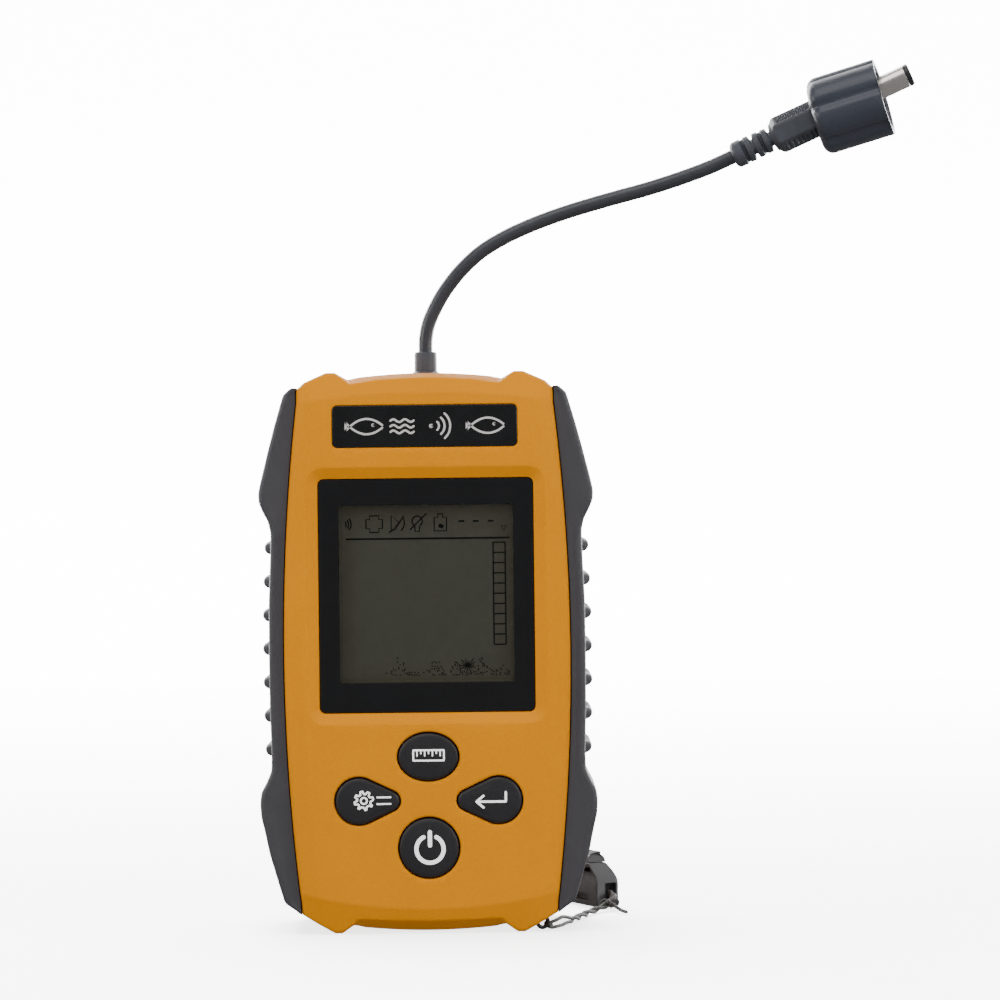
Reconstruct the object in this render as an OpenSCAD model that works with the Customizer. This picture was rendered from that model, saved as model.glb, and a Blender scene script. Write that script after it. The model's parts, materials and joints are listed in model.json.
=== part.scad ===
// Handheld fish finder that stands on its four corner bumpers. X is to the right, Y runs from the
// screen to the back and Z is up. The origin is under the middle of the body, on the floor.

/* [Body] */
// Height over the corner bumpers
body_h = 135.6; // [135:0.1:137]
// Width of the yellow shells at their widest
shell_w = 69.2; // [69:0.1:70.4]
// Depth from the screen side to the back
body_d = 36; // [36:0.1:38]
// Radius of the long arc of each side
side_r = 508; // [480:1:600]
// Wall of the shells
wall = 2.2; // [1.8:0.1:2.3]
// Thickness of the shells' front and back faces
face_t = 3.2; // [3:0.1:3.4]
// Radius of the arcs across the top and the bottom
end_r = 143; // [130:1:160]
// Depth of the front shell
front_d = 14; // [13.6:0.1:14.2]

/* [Screen] */
// Width of the clear lens
lens_w = 52; // [51.6:0.1:52.2]
// Height of the clear lens
lens_h = 56.5; // [56:0.1:56.8]
// Height of the lens's middle above the floor
lens_z = 81.6; // [81:0.1:82]
// Width of the sloping border around the lens
bevel_w = 2.7; // [2:0.1:3]
// Depth from the face to the lens
bevel_t = 1.2; // [0.8:0.1:1.3]
// Thickness of the lens
lens_t = 1.4; // [1.2:0.1:1.5]

/* [Keys] */
// How far a key travels
key_travel = 0.8; // [0.5:0.1:0.9]
// How far a key stands out of the face
key_proud = 0.6; // [0.4:0.1:1]
// Gap between a key and its opening
key_gap = 0.25; // [0.2:0.05:0.3]
// Height of the round power key's middle
power_z = 20.7; // [20:0.1:21]
// Diameter of the power key
power_d = 14.4; // [14:0.1:14.6]
// Height of the middle of the two side keys
side_key_z = 32.1; // [32:0.1:32.6]
// Height of the middle of the upper key
upper_key_z = 42.7; // [42.4:0.1:43]

/* [Battery bay] */
// Diameter of a battery cell
cell_d = 10.5; // [10:0.1:10.5]
// Length of a battery cell
cell_h = 44.5; // [44:0.1:44.5]
// Distance between neighbouring cells
cell_pitch = 11.2; // [11:0.1:11.3]
// Half width of the battery door
door_x = 25.4; // [25.2:0.1:25.6]
// Height of the door's hinge axis
hinge_z = 68.5; // [68.4:0.1:69]
// Diameter of the hinge pin
pin_d = 1.6; // [1.4:0.1:1.6]

/* [Plug and lead] */
// Diameter of the lead
lead_d = 3.5; // [3:0.1:3.5]
// Outer diameter of the plug's barrel
barrel_d = 5.5; // [5.5]
// Outer diameter of the loose collar
collar_d = 19.3; // [19:0.1:19.6]
// Length of the collar
collar_l = 17.5; // [17:0.1:17.8]

/* [Hidden] */
$fn = 48;

yellow = "#F4A315";
grip_grey = "#4A494C";
key_black = "#2F2E31";
black = "#1B1B1D";
board_green = "#1F6B3E";
steel = "#B9BCC2";
cord_grey = "#6B6762";

front_y = -body_d / 2;
back_y = body_d / 2 + key_proud;
face_in = front_y + face_t;
part_y = front_y + front_d;
back_in = back_y - face_t;
seam = 0.3;
side_z = body_h / 2;
end_gap = 0.2;
lens_y = front_y + bevel_t;
lens_back = lens_y + lens_t;
glass_x = lens_w / 2 - 1.8;
glass_z0 = lens_z - 26.3;
glass_z1 = lens_z + 26.1;
board_y = -9;
board_t = 1.6;
board_back = board_y + board_t;
mat_t = 1.2;
case_screw_x = 26;
case_screw_z = [8, 127];
board_screw_x = 26;
board_screw_z = [18, 113];
bay_x = 23.2;
bay_z0 = 14.3;
bay_z1 = 64.8;
bay_y = 4.6;
bay_wall = 1.4;
cell_y = 10.1;
cell_x = [for (k = [0:3]) (k - 1.5) * cell_pitch];
door_t = 2;
door_z0 = 12.6;
hinge_y = back_y - door_t / 2 - 0.6;
knuckle_r = back_y - hinge_y;
lug_x0 = 14.3;
lug_x1 = 17.7;
gap = 0.3;
lead_y = 3;
gland_z = body_h - end_gap;
gland_top = 141.2;
// Height of the front face's upper and lower creases, and how far the face leans back past them
crease_z = 7.7;
crease_lean = 1.6;
scoop_x = 18.4;
scoop_h = 3.9;
scoop_d = 4;

// Outer side of the right grip, as distance from the middle and height, from its foot to its top
grip_side = [[31.3, 4.7], [35.2, 7.4], [37, 13.4], [38.7, 19.2], [39.8, 24.6], [40.7, 28.4],
             [40.9, 31.6], [40.6, 34.2], [39.2, 36.8], [38.1, 39.4], [38, 44], [38.3, 54],
             [38.4, 66], [38.3, 80], [37.8, 92], [37.7, 97], [38.3, 99.8], [39.6, 102.2],
             [40.5, 104.4], [40.6, 106.6], [40.1, 109], [38.1, 117], [36.5, 123], [34.8, 128.8],
             [34.2, 130.6], [32.4, 132], [31, 132]];
rib_z = [for (k = [0:6]) 93.4 - 8.16 * k];
rib_r = 1.5;
rib_x = 38.2;

// Route of the lead from the top of the gland to the plug
lead_route = [[0, 3, 141.2], [0.1, 3, 144.4], [0.8, 3, 148], [2.4, 3, 151.8], [5, 3, 156.3],
              [9, 3, 161.3], [14, 3, 165.8], [20, 3, 169.4], [27, 3, 172.5], [34, 3, 175],
              [41, 3, 177.1], [48, 2.9, 179], [55, 2.6, 180.8], [62, 2.1, 182.9],
              [68.8, 1.3, 185.2], [72.8, 0.8, 186.8], [76.4, 0.2, 188.4]];
// Route of the lead inside the case, from the gland to its socket on the board
inner_route = [[0, 3, 141.1], [0, 3, 134], [0, 3, 128], [0, 2, 125], [0, -0.4, 122],
               [0, -2, 119.6], [0, -2.2, 118.1]];
// Route of the lanyard cord from its eye over the floor to the buckle
cord_route = [[28.6, -12.8, 1.1], [30.4, -11, 1], [32, -8, 1], [33.6, -4, 1], [35.4, 1, 1],
              [37.6, 8, 1], [40, 15, 1], [43, 20.4, 1.4], [45.2, 23.6, 3], [45.6, 25.5, 4],
              [44.7, 27.2, 4]];
cord_d = 1.7;

plug_at = lead_route[len(lead_route) - 1];
plug_rise = 23.5;
plug_turn = -9;
relief_l = 11.3;
grip_l = 11.5;
plug_body_l = 10.4;
barrel_at = relief_l + grip_l + plug_body_l + 0.06;
// Distance from the strain relief's start to the barrel's tip, and the length of its black end ring
tip_l = 47.7;
tip_ring = 1.3;
// Diameter of the barrel's root, which is held inside the plug's body
root_d = 4.4;
collar_at = 22.2;
collar_rise = 15.5;
collar_turn = -12;
collar_bore = 16.3;
collar_back = 2.2;

buckle_at = [44.2, 27, 0];
buckle_turn = 118;
buckle_t = 6.4;
buckle_z0 = 0.3;
buckle_h = 13.9;
socket_l = 17;
plug_l = 10;
hank_at = [-5, 61, 0.8];
hank_run = 47;
hank_r = 7.5;
webbing_w = 10;

// Half width of the yellow shells at height z, on one long arc
function shell_x(z) = shell_w / 2 - side_r + sqrt(side_r * side_r - (z - side_z) * (z - side_z));

// Right half of the shells' outline from the bottom to the top, drawn in by i on every side
function half_outline(i) = concat(
    [for (x = [0:4:16]) [x, end_gap + i + x * x / (2 * end_r)]],
    [[18.4, 1.9 + i], [21.2, i], [23, i], [31.1 - i, 4.6 + i]],
    [for (z = [8:8:128]) [shell_x(z) - i, z]],
    [[30.9 - i, 131.6 - i], [29.2 - i / 2, 133.2 - i], [23.8, body_h - i], [21.6, body_h - i],
     [18.6, body_h - 1.7 - i]],
    [for (x = [16:-4:0]) [x, body_h - end_gap - i - x * x / (2 * end_r)]]);
function mirrored(p) = [for (k = [len(p) - 2:-1:1]) [-p[k][0], p[k][1]]];
function outline(i) = concat(half_outline(i), mirrored(half_outline(i)));

// Egg outline that runs from a big circle at b to a small one at s, grown by g
function egg(b, br, s, sr, g) =
    let (turn = acos((br - sr) / (b - s)))
    concat([for (k = [-8:8]) [b + (br + g) * cos(k * (180 - turn) / 8),
                              (br + g) * sin(k * (180 - turn) / 8)]],
           [for (k = [-4:4]) [s + (sr + g) * cos(180 + k * turn / 4),
                              (sr + g) * sin(180 + k * turn / 4)]]);
function oval(a, b, g) = [for (t = [0:10:350]) [(a + g) * cos(t), (b + g) * sin(t)]];

function unit(v) = v / norm(v);
function heading(p, k) = unit(p[min(k + 1, len(p) - 1)] - p[max(k - 1, 0)]);

// Sweeps a round section of eight sides along a route; flat is a direction across the route
module tube(p, d, flat) {
    sides = 8;
    rings = [for (k = [0:len(p) - 1])
        let (t = heading(p, k), u = unit(cross(t, flat)), w = cross(t, u))
        for (s = [0:sides - 1])
            p[k] + d / 2 * (cos(360 * s / sides) * u + sin(360 * s / sides) * w)];
    last = (len(p) - 1) * sides;
    polyhedron(rings, concat(
        [for (k = [0:len(p) - 2]) for (s = [0:sides - 1])
            let (a = k * sides + s, b = k * sides + (s + 1) % sides)
            [a, a + sides, b + sides, b]],
        [[for (s = [0:sides - 1]) s]],
        [[for (s = [sides - 1:-1:0]) last + s]]));
}

// Extrudes an outline drawn in X and Z from y0 to y1
module slab(y0, y1) {
    translate([0, y1, 0]) rotate([90, 0, 0]) linear_extrude(y1 - y0) children();
}
module post(x, z, r, y0, y1) {
    translate([x, y1, z]) rotate([90, 0, 0]) cylinder(r = r, h = y1 - y0);
}
module block(x0, x1, y0, y1, z0, z1) {
    translate([x0, y0, z0]) cube([x1 - x0, y1 - y0, z1 - z0]);
}
module window(x, z0, z1, y0, y1) {
    block(-x, x, y0, y1, z0, z1);
}
module both_sides() {
    children();
    mirror([1, 0, 0]) children();
}
module at_plug(s) {
    translate(plug_at) rotate([0, 90 - plug_rise, plug_turn]) translate([0, 0, s]) children();
}

// Wedge that leans the front face back past a crease; the lower one is its mirror image
module crease_cut() {
    top = body_h - 6;
    translate([-50, 0, 0]) rotate([90, 0, 90]) linear_extrude(100)
        polygon([[front_y - 1, top], [front_y, top], [front_y + crease_lean, body_h + 1],
                 [front_y - 1, body_h + 1]]);
    translate([-50, 0, 0]) rotate([90, 0, 90]) linear_extrude(100)
        polygon([[front_y - 1, -1], [front_y + crease_lean, -1], [front_y, crease_z],
                 [front_y - 1, crease_z]]);
}
// Bevel of the front edge between a pair of bumpers
module scoop_cut() {
    translate([-scoop_x, 0, 0]) rotate([90, 0, 90]) linear_extrude(2 * scoop_x)
        polygon([[front_y - 1, -1], [front_y + scoop_d, -1], [front_y + scoop_d, end_gap],
                 [front_y + crease_lean / 2, scoop_h], [front_y - 1, scoop_h]]);
    translate([-scoop_x, 0, 0]) rotate([90, 0, 90]) linear_extrude(2 * scoop_x)
        polygon([[front_y - 1, body_h + 1], [front_y + scoop_d, body_h + 1],
                 [front_y + scoop_d, body_h - end_gap], [front_y + crease_lean / 2, body_h - 2.4],
                 [front_y - 1, body_h - 2.4]]);
}

module front_shell() color(yellow) {
    rim = part_y - seam;
    difference() {
        union() {
            difference() {
                slab(front_y, rim) polygon(outline(0));
                slab(face_in, part_y) polygon(outline(wall));
            }
            both_sides() for (z = case_screw_z) post(case_screw_x, z, 3, face_in - 1, rim);
            both_sides() for (z = board_screw_z)
                post(board_screw_x, z, 2.2, face_in - 1, board_y - 0.05);
        }
        crease_cut();
        scoop_cut();
        hull() {
            window(lens_w / 2 + bevel_w, lens_z - lens_h / 2 - bevel_w,
                   lens_z + lens_h / 2 + bevel_w, front_y - 0.1, front_y);
            window(lens_w / 2 + 0.1, lens_z - lens_h / 2 - 0.1, lens_z + lens_h / 2 + 0.1,
                   front_y, lens_y);
        }
        window(lens_w / 2 + 0.1, lens_z - lens_h / 2 - 0.1, lens_z + lens_h / 2 + 0.1,
               lens_y - 0.1, lens_back);
        window(lens_w / 2 - 3, lens_z - lens_h / 2 + 3, lens_z + lens_h / 2 - 3, front_y, face_in + 1);
        slab(front_y - 1, front_y + 0.7) name_outline(0.1);
        slab(front_y - 1, face_in + 1) translate([0, upper_key_z]) polygon(oval(7.25, 5.7, key_gap));
        both_sides() slab(front_y - 1, face_in + 1) translate([0, side_key_z])
            polygon(egg(16.9, 5.6, 9.4, 2.4, key_gap));
        slab(front_y - 1, face_in + 1) translate([0, power_z]) circle(d = power_d + 2 * key_gap);
        both_sides() for (z = case_screw_z) post(case_screw_x, z, 1.27, board_y - 1, part_y);
        both_sides() for (z = board_screw_z) post(board_screw_x, z, 0.82, face_in + 0.6, board_y);
    }
}

module rear_shell() color(yellow) {
    rim = part_y + seam;
    difference() {
        union() {
            difference() {
                slab(rim, back_y) polygon(outline(0));
                slab(part_y, back_in) polygon(outline(wall));
            }
            both_sides() for (z = case_screw_z) post(case_screw_x, z, 3, rim, back_in + 1);
        }
        // recess of the door, its ledge's opening and the hinge groove
        window(door_x + gap, door_z0 - gap, hinge_z, back_y - door_t - 0.4, back_y + 1);
        window(bay_x + 0.4, bay_z0 - 0.3, bay_z1 + 0.4, back_in - 1, back_y);
        difference() {
            translate([-door_x - gap, hinge_y, hinge_z]) rotate([0, 90, 0])
                cylinder(r = knuckle_r + gap, h = 2 * (door_x + gap));
            both_sides() block(lug_x0, lug_x1, back_in - 1, back_y + 1, hinge_z, hinge_z + 4);
        }
        both_sides() for (z = case_screw_z) {
            post(case_screw_x, z, 1.4, part_y, back_y);
            post(case_screw_x, z, 2.6, 12, back_y + 1);
        }
        translate([0, hinge_y, hinge_z]) rotate([0, 90, 0])
            cylinder(d = pin_d + 0.04, h = 50, center = true);
        translate([0, lead_y, body_h - 6]) cylinder(r = 2.5, h = 8);
    }
    both_sides() difference() {
        translate([lug_x0, hinge_y, hinge_z]) rotate([0, 90, 0])
            cylinder(r = knuckle_r, h = lug_x1 - lug_x0);
        translate([lug_x0 - 1, hinge_y, hinge_z]) rotate([0, 90, 0])
            cylinder(d = pin_d + 0.04, h = 6);
    }
}

// Rubber side grip with two palm swells and seven finger ribs
module side_grip() {
    inner = [for (z = [128:-8:8]) [shell_x(z) + 0.05, z]];
    union() {
        slab(front_y + 2.4, 13.6) polygon(concat(grip_side, [[31, 131.6]], inner, [[31.2, 4.7]]));
        intersection() {
            for (z = rib_z) post(rib_x, z, rib_r, front_y + 5, 11);
            block(37, 45, front_y, back_y, 0, body_h);
        }
    }
}
module left_grip() color(grip_grey) mirror([1, 0, 0]) side_grip();
module right_grip() color(grip_grey) side_grip();

module shell_gasket() color(black)
    difference() {
        slab(part_y - seam + 0.02, part_y + seam - 0.02) polygon(outline(0.5));
        slab(part_y - 1, part_y + 1) polygon(outline(1.9));
    }

// Rounded outline of the name plate, grown by g
module name_outline(g) {
    polygon([for (c = [[21.1, 126.3, 0], [-21.1, 126.3, 90], [-21.1, 118.6, 180], [21.1, 118.6, 270]])
        for (t = [0:30:90]) [c[0] + (1.2 + g) * cos(c[2] + t), c[1] + (1.2 + g) * sin(c[2] + t)]]);
}
module name_plate() color(black) slab(front_y + 0.05, front_y + 0.65) name_outline(0);

module display_lens() color("#20242680")
    window(lens_w / 2, lens_z - lens_h / 2, lens_z + lens_h / 2, lens_y, lens_back - 0.05);

module lcd_panel() color("#3A3A32") window(glass_x, glass_z0, glass_z1, face_in + 0.1, face_in + 1.9);

module lcd_frame() color("white")
    difference() {
        window(glass_x + 2.2, glass_z0 - 2.1, glass_z1 + 2.1, face_in + 0.1, board_y - 0.05);
        window(glass_x + 0.1, glass_z0 - 0.1, glass_z1 + 0.1, face_in - 1, board_y + 1);
    }

module backlight() color("#E8EAE4")
    window(glass_x, glass_z0 + 3.3, glass_z1, face_in + 1.95, face_in + 4.5);

module contact_strip() color("#C65A78")
    window(20, glass_z0 + 0.3, glass_z0 + 2.5, face_in + 1.95, board_y - 0.05);

module main_board() color(board_green)
    difference() {
        window(29, 12.5, 122.5, board_y, board_back);
        both_sides() for (z = board_screw_z) post(board_screw_x, z, 1, board_y - 1, board_back + 1);
    }

module board_chips() color(black) {
    window(6, 78, 90, board_back + 0.05, board_back + 1.7);
    both_sides() block(12, 20, board_back + 0.05, board_back + 1.6, 76, 82);
    block(-20, -12, board_back + 0.05, board_back + 1.5, 86, 91);
    block(10, 14, board_back + 0.05, board_back + 4, 108, 119);
}

module pulse_transformer() color("#C9A13B") {
    block(-22, -10, board_back + 0.05, board_back + 1.6, 99, 111);
    block(-20.5, -11.5, board_back + 1.6, board_back + 8.6, 100.5, 109.5);
}

module buzzer() color(black) post(18, 98, 6, board_back + 0.05, board_back + 5.8);

module keypad_mat() color("#8C8F94") {
    key_spots = [[0, power_z], [0, upper_key_z], [14.6, side_key_z], [-14.6, side_key_z]];
    window(22.8, 13, 50, board_y - mat_t, board_y - 0.02);
    for (s = key_spots) post(s[0], s[1], 3, board_y - 2.5, board_y - mat_t);
}

// Key cap with its flange behind the face; cap and flange outlines are children 0 and 1
module key(x, z) {
    slab(front_y - key_proud, face_in + 0.5) children(0);
    slab(face_in + 0.2, face_in + 1.1) children(1);
    post(x, z, 1.6, face_in + 1, board_y - 2.5 - key_travel - gap);
}
module side_key() {
    key(14.6, side_key_z) {
        translate([0, side_key_z]) polygon(egg(16.9, 5.6, 9.4, 2.4, 0));
        translate([0, side_key_z]) polygon(egg(16.9, 5.6, 9.4, 2.4, 1.2));
    }
}
module units_key() color(key_black)
    key(0, upper_key_z) {
        translate([0, upper_key_z]) polygon(oval(7.25, 5.7, 0));
        translate([0, upper_key_z]) polygon(oval(7.25, 5.7, 1.2));
    }
module setup_key() color(key_black) mirror([1, 0, 0]) side_key();
module enter_key() color(key_black) side_key();
module power_key() color(key_black)
    key(0, power_z) {
        translate([0, power_z]) circle(d = power_d);
        translate([0, power_z]) circle(d = power_d + 2.4);
    }

// Screw along Y with its head at y
module screw(x, z, y, r, length, head_r, head_h) {
    post(x, z, r, y - length, y + 0.1);
    difference() {
        post(x, z, head_r, y, y + head_h);
        block(x - 0.3, x + 0.3, y + head_h / 2, y + head_h + 1, z - head_r * 0.7, z + head_r * 0.7);
        block(x - head_r * 0.7, x + head_r * 0.7, y + head_h / 2, y + head_h + 1, z - 0.3, z + 0.3);
    }
}
module board_screws() color(steel)
    both_sides() for (z = board_screw_z)
        screw(board_screw_x, z, board_back + 0.02, 0.8, 6, 1.7, 1.2);
module case_screws() color(steel)
    both_sides() for (z = case_screw_z) screw(case_screw_x, z, 12.02, 1.25, 20, 2.4, 2);

module battery_tray() color("#3A3A3D")
    difference() {
        window(bay_x + bay_wall, bay_z0 - bay_wall, bay_z1 + bay_wall, bay_y - bay_wall, back_in - 0.05);
        window(bay_x, bay_z0, bay_z1, bay_y, back_y);
    }

module battery_door() color(yellow)
    difference() {
        union() {
            window(door_x, door_z0, hinge_z, back_y - door_t, back_y);
            translate([-door_x, hinge_y, hinge_z]) rotate([0, 90, 0])
                cylinder(r = knuckle_r, h = 2 * door_x);
        }
        translate([-door_x - 1, hinge_y, hinge_z]) rotate([0, 90, 0])
            cylinder(d = pin_d + 0.1, h = 2 * door_x + 2);
        both_sides() block(lug_x0 - gap, lug_x1 + gap, back_y - 5, back_y + 1,
                           hinge_z - knuckle_r - gap, hinge_z + 3);
        // thumb grooves
        for (z = [18:2:26]) translate([-7, back_y + 0.3, z]) rotate([0, 90, 0])
            cylinder(r = 0.8, h = 14);
    }

module door_seal() color(black)
    difference() {
        window(door_x - 0.2, door_z0 + 0.3, bay_z1 + 1.4, back_y - door_t - 0.25, back_y - door_t - 0.01);
        window(door_x - 1.4, door_z0 + 1.5, bay_z1 + 0.2, back_y - 3, back_y);
    }

module door_pin() color(steel)
    translate([0, hinge_y, hinge_z]) rotate([0, 90, 0])
        cylinder(d = pin_d, h = 2 * lug_x1 + 10, center = true);

// Cell in bay k; every second one stands the other way up
module battery_cell(k) {
    up = k % 2 == 0;
    z0 = up ? bay_z0 + 1 + 4.1 : bay_z1 - 5.1 - cell_h;
    color("#3D4C63") translate([cell_x[k], cell_y, z0 + (up ? 0 : cell_h)])
        mirror([0, 0, up ? 0 : 1]) {
            cylinder(d = cell_d, h = cell_h - 1.1);
            cylinder(d = 3.6, h = cell_h);
        }
}
module battery_cell_1() battery_cell(0);
module battery_cell_2() battery_cell(1);
module battery_cell_3() battery_cell(2);
module battery_cell_4() battery_cell(3);

module battery_springs() color(steel)
    for (k = [0:3]) {
        up = k % 2 == 0;
        translate([cell_x[k], cell_y, up ? bay_z0 + 0.05 : bay_z1 - 5.05]) difference() {
            cylinder(r = 3, h = 5);
            translate([0, 0, -1]) cylinder(r = 2.4, h = 7);
        }
    }
module contact_plates() color(steel)
    for (k = [0:3]) {
        up = k % 2 == 0;
        block(cell_x[k] - 4, cell_x[k] + 4, bay_y + 1, bay_y + 9,
              up ? bay_z1 - 0.45 : bay_z0 + 0.05, up ? bay_z1 - 0.05 : bay_z0 + 0.45);
    }

module cable_gland() color(black)
    translate([0, lead_y, 0]) difference() {
        union() {
            translate([0, 0, gland_z + 0.02]) cylinder(r = 3.4, h = 0.8);
            translate([0, 0, gland_z + 0.02]) cylinder(r = 2.8, h = gland_top - gland_z - 0.02);
            translate([0, 0, gland_z - wall - 4]) cylinder(r = 2.45, h = wall + 5);
        }
        translate([0, 0, 120]) cylinder(d = lead_d + 0.1, h = 30);
    }
module gland_nut() color(black)
    translate([0, lead_y, gland_z - wall - 2.4]) difference() {
        cylinder(r = 4.2, h = 1.8);
        translate([0, 0, -1]) cylinder(r = 2.47, h = 5);
    }
module inner_lead() color(grip_grey) tube(inner_route, lead_d, [1, 0, 0]);
module lead_socket() color("#E9E4D2") window(4, 112, 118, board_back + 0.05, -0.4);

module lead_cable() color("#3E3D42") tube(lead_route, lead_d, [0, 1, 0]);

module strain_relief() color(black)
    at_plug(0.02) {
        cylinder(r = 2.3, h = relief_l - 0.02);
        for (k = [0:3]) translate([0, 0, 1 + 2.7 * k]) cylinder(r = 3, h = 1.9);
    }
module plug_grip() color(black)
    at_plug(relief_l + 0.02) cylinder(r = 4.5, h = grip_l);
module plug_body() color(black)
    at_plug(relief_l + grip_l + 0.04) difference() {
        union() {
            cylinder(r = 4.2, h = plug_body_l);
            translate([0, 0, 2.8]) cylinder(r = 6.4, h = 2);
        }
        translate([0, 0, 6.2]) rotate_extrude() translate([4.4, 0]) circle(r = 0.8);
        translate([0, 0, plug_body_l - 2]) cylinder(d = root_d + 0.04, h = 5);
    }
module plug_seal() color("#2A2A2C")
    at_plug(relief_l + grip_l + 6.24) rotate_extrude() translate([4.4, 0]) circle(r = 0.76);

// Loose collar with six broad lobes, standing off the plug's axis because it hangs free
module collar_frame() {
    translate(plug_at + collar_at * [cos(plug_rise) * cos(plug_turn),
                                     cos(plug_rise) * sin(plug_turn), sin(plug_rise)])
        rotate([0, 90 - collar_rise, collar_turn]) children();
}
module plug_collar() color("#3A3D45")
    collar_frame() difference() {
        cylinder(d = collar_d, h = collar_l);
        translate([0, 0, collar_back]) cylinder(d = collar_bore, h = collar_l);
        translate([0, 0, -1]) cylinder(r = 5.4, h = collar_l);
        for (k = [0:5]) rotate([0, 0, 60 * k + 17]) translate([collar_d / 2 + 1.1, 0, -1])
            cylinder(r = 1.7, h = collar_l + 2);
    }
module dc_barrel() color(steel)
    at_plug(barrel_at) difference() {
        union() {
            cylinder(d = barrel_d, h = tip_l - tip_ring - barrel_at);
            translate([0, 0, -1.8]) cylinder(d = root_d, h = 2);
        }
        translate([0, 0, -1]) cylinder(r = 2, h = 30);
    }
module barrel_insulator() color(black)
    at_plug(tip_l - 12) difference() {
        union() {
            cylinder(r = 1.95, h = 12);
            translate([0, 0, 12 - tip_ring + 0.02]) cylinder(d = barrel_d, h = tip_ring - 0.02);
        }
        translate([0, 0, 1]) cylinder(r = 1.42, h = 30);
    }
module centre_contact() color("#B8913A")
    at_plug(tip_l - 10.9) difference() {
        cylinder(r = 1.4, h = 10.4);
        translate([0, 0, 1]) cylinder(r = 1.05, h = 30);
    }

module lanyard_eye() color(black)
    translate([27.2, -13, 2.05]) rotate([90, 0, 20]) rotate_extrude() translate([1.35, 0]) circle(r = 0.5);
module lanyard_cord() color(cord_grey) tube(cord_route, cord_d, [0, 0, 1]);

module at_buckle() {
    translate(buckle_at) rotate([0, 0, buckle_turn]) children();
}
module buckle_socket() color("#555455")
    at_buckle() difference() {
        block(0.05, socket_l, -buckle_t / 2, buckle_t / 2, buckle_z0, buckle_z0 + buckle_h);
        block(6, socket_l + 1, -2, 2, -1, buckle_h + 2);
    }
module buckle_plug() color("#555455")
    at_buckle() {
        difference() {
            block(socket_l + 0.3, socket_l + plug_l, -3, 3, buckle_z0, buckle_z0 + buckle_h);
            block(socket_l + 4, socket_l + 7, -4, 4, 2, 12.4);
        }
        both = [[buckle_z0 + 0.2, 4.2], [10.2, buckle_z0 + buckle_h - 0.2]];
        for (z = both) block(6.3, socket_l + 0.4, -1.7, 1.7, z[0], z[1]);
    }
// Webbing wound into a flat oval, with the run that goes to the buckle
module strap_hank() color("#26282B") {
    translate(hank_at) linear_extrude(webbing_w) union() {
        square([hank_run, 2 * hank_r], center = true);
        translate([hank_run / 2, 0]) circle(r = hank_r);
        translate([-hank_run / 2, 0]) circle(r = hank_r);
    }
    at_buckle() block(socket_l + plug_l + 0.05, socket_l + plug_l + 15, -0.6, 0.6,
                      hank_at[2], hank_at[2] + webbing_w);
}
module strap_tie() color("#3C3E42")
    translate([hank_at[0], hank_at[1], 0]) difference() {
        block(-4, 4, -hank_r - 0.8, hank_r + 0.8, 0.05, hank_at[2] + webbing_w + 0.8);
        block(-5, 5, -hank_r - 0.05, hank_r + 0.05, hank_at[2] - 0.05, hank_at[2] + webbing_w + 0.05);
    }

front_shell();
rear_shell();
left_grip();
right_grip();
shell_gasket();
name_plate();
display_lens();
lcd_panel();
lcd_frame();
backlight();
contact_strip();
main_board();
board_chips();
pulse_transformer();
buzzer();
keypad_mat();
units_key();
setup_key();
enter_key();
power_key();
board_screws();
case_screws();
battery_tray();
battery_door();
door_seal();
door_pin();
battery_cell_1();
battery_cell_2();
battery_cell_3();
battery_cell_4();
battery_springs();
contact_plates();
cable_gland();
gland_nut();
inner_lead();
lead_socket();
lead_cable();
strain_relief();
plug_grip();
plug_body();
plug_seal();
plug_collar();
dc_barrel();
barrel_insulator();
centre_contact();
lanyard_eye();
lanyard_cord();
buckle_socket();
buckle_plug();
strap_hank();
strap_tie();
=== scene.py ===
"""The looks of a handheld fish finder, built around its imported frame.

Shapes are worked out in millimetres as numpy arrays and written to meshes in metres. X is to the
right, Y runs from the screen to the back and Z is up, as in the frame.
"""

import json
import math

import bmesh
import bpy
import numpy as np
from mathutils import Matrix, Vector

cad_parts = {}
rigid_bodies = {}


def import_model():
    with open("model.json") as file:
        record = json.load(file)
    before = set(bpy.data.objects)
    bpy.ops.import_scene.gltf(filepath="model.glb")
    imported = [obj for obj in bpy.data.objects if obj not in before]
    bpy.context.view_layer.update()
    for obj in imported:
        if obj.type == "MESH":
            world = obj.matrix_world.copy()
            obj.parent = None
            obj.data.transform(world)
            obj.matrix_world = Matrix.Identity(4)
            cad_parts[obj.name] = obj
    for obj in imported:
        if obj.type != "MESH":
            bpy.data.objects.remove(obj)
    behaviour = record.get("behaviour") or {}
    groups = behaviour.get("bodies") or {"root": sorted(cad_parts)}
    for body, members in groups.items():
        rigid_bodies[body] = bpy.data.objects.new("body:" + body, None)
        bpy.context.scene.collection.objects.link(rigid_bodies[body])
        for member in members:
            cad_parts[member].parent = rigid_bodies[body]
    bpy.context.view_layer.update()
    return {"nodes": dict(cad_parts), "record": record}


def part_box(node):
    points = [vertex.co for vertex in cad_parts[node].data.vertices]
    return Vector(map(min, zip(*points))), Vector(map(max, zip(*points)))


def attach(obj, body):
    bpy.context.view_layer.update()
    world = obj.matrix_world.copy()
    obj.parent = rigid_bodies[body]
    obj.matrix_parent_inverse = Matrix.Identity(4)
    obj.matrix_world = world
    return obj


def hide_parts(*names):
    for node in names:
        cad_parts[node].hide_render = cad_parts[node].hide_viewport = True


bl_info = {
    "name": "Handheld fish finder",
    "version": (1, 0, 0),
    "blender": (4, 5, 0),
    "location": "3D View > Sidebar > Fish finder",
    "description": "Builds the pieces, finishes and studio of a handheld fish finder",
    "category": "Object",
}

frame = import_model()
MM = 0.001


def node_box(name):
    """Lowest and highest corners of a frame node, in millimetres."""
    low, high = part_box(name)
    return np.array(low) / MM, np.array(high) / MM


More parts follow.
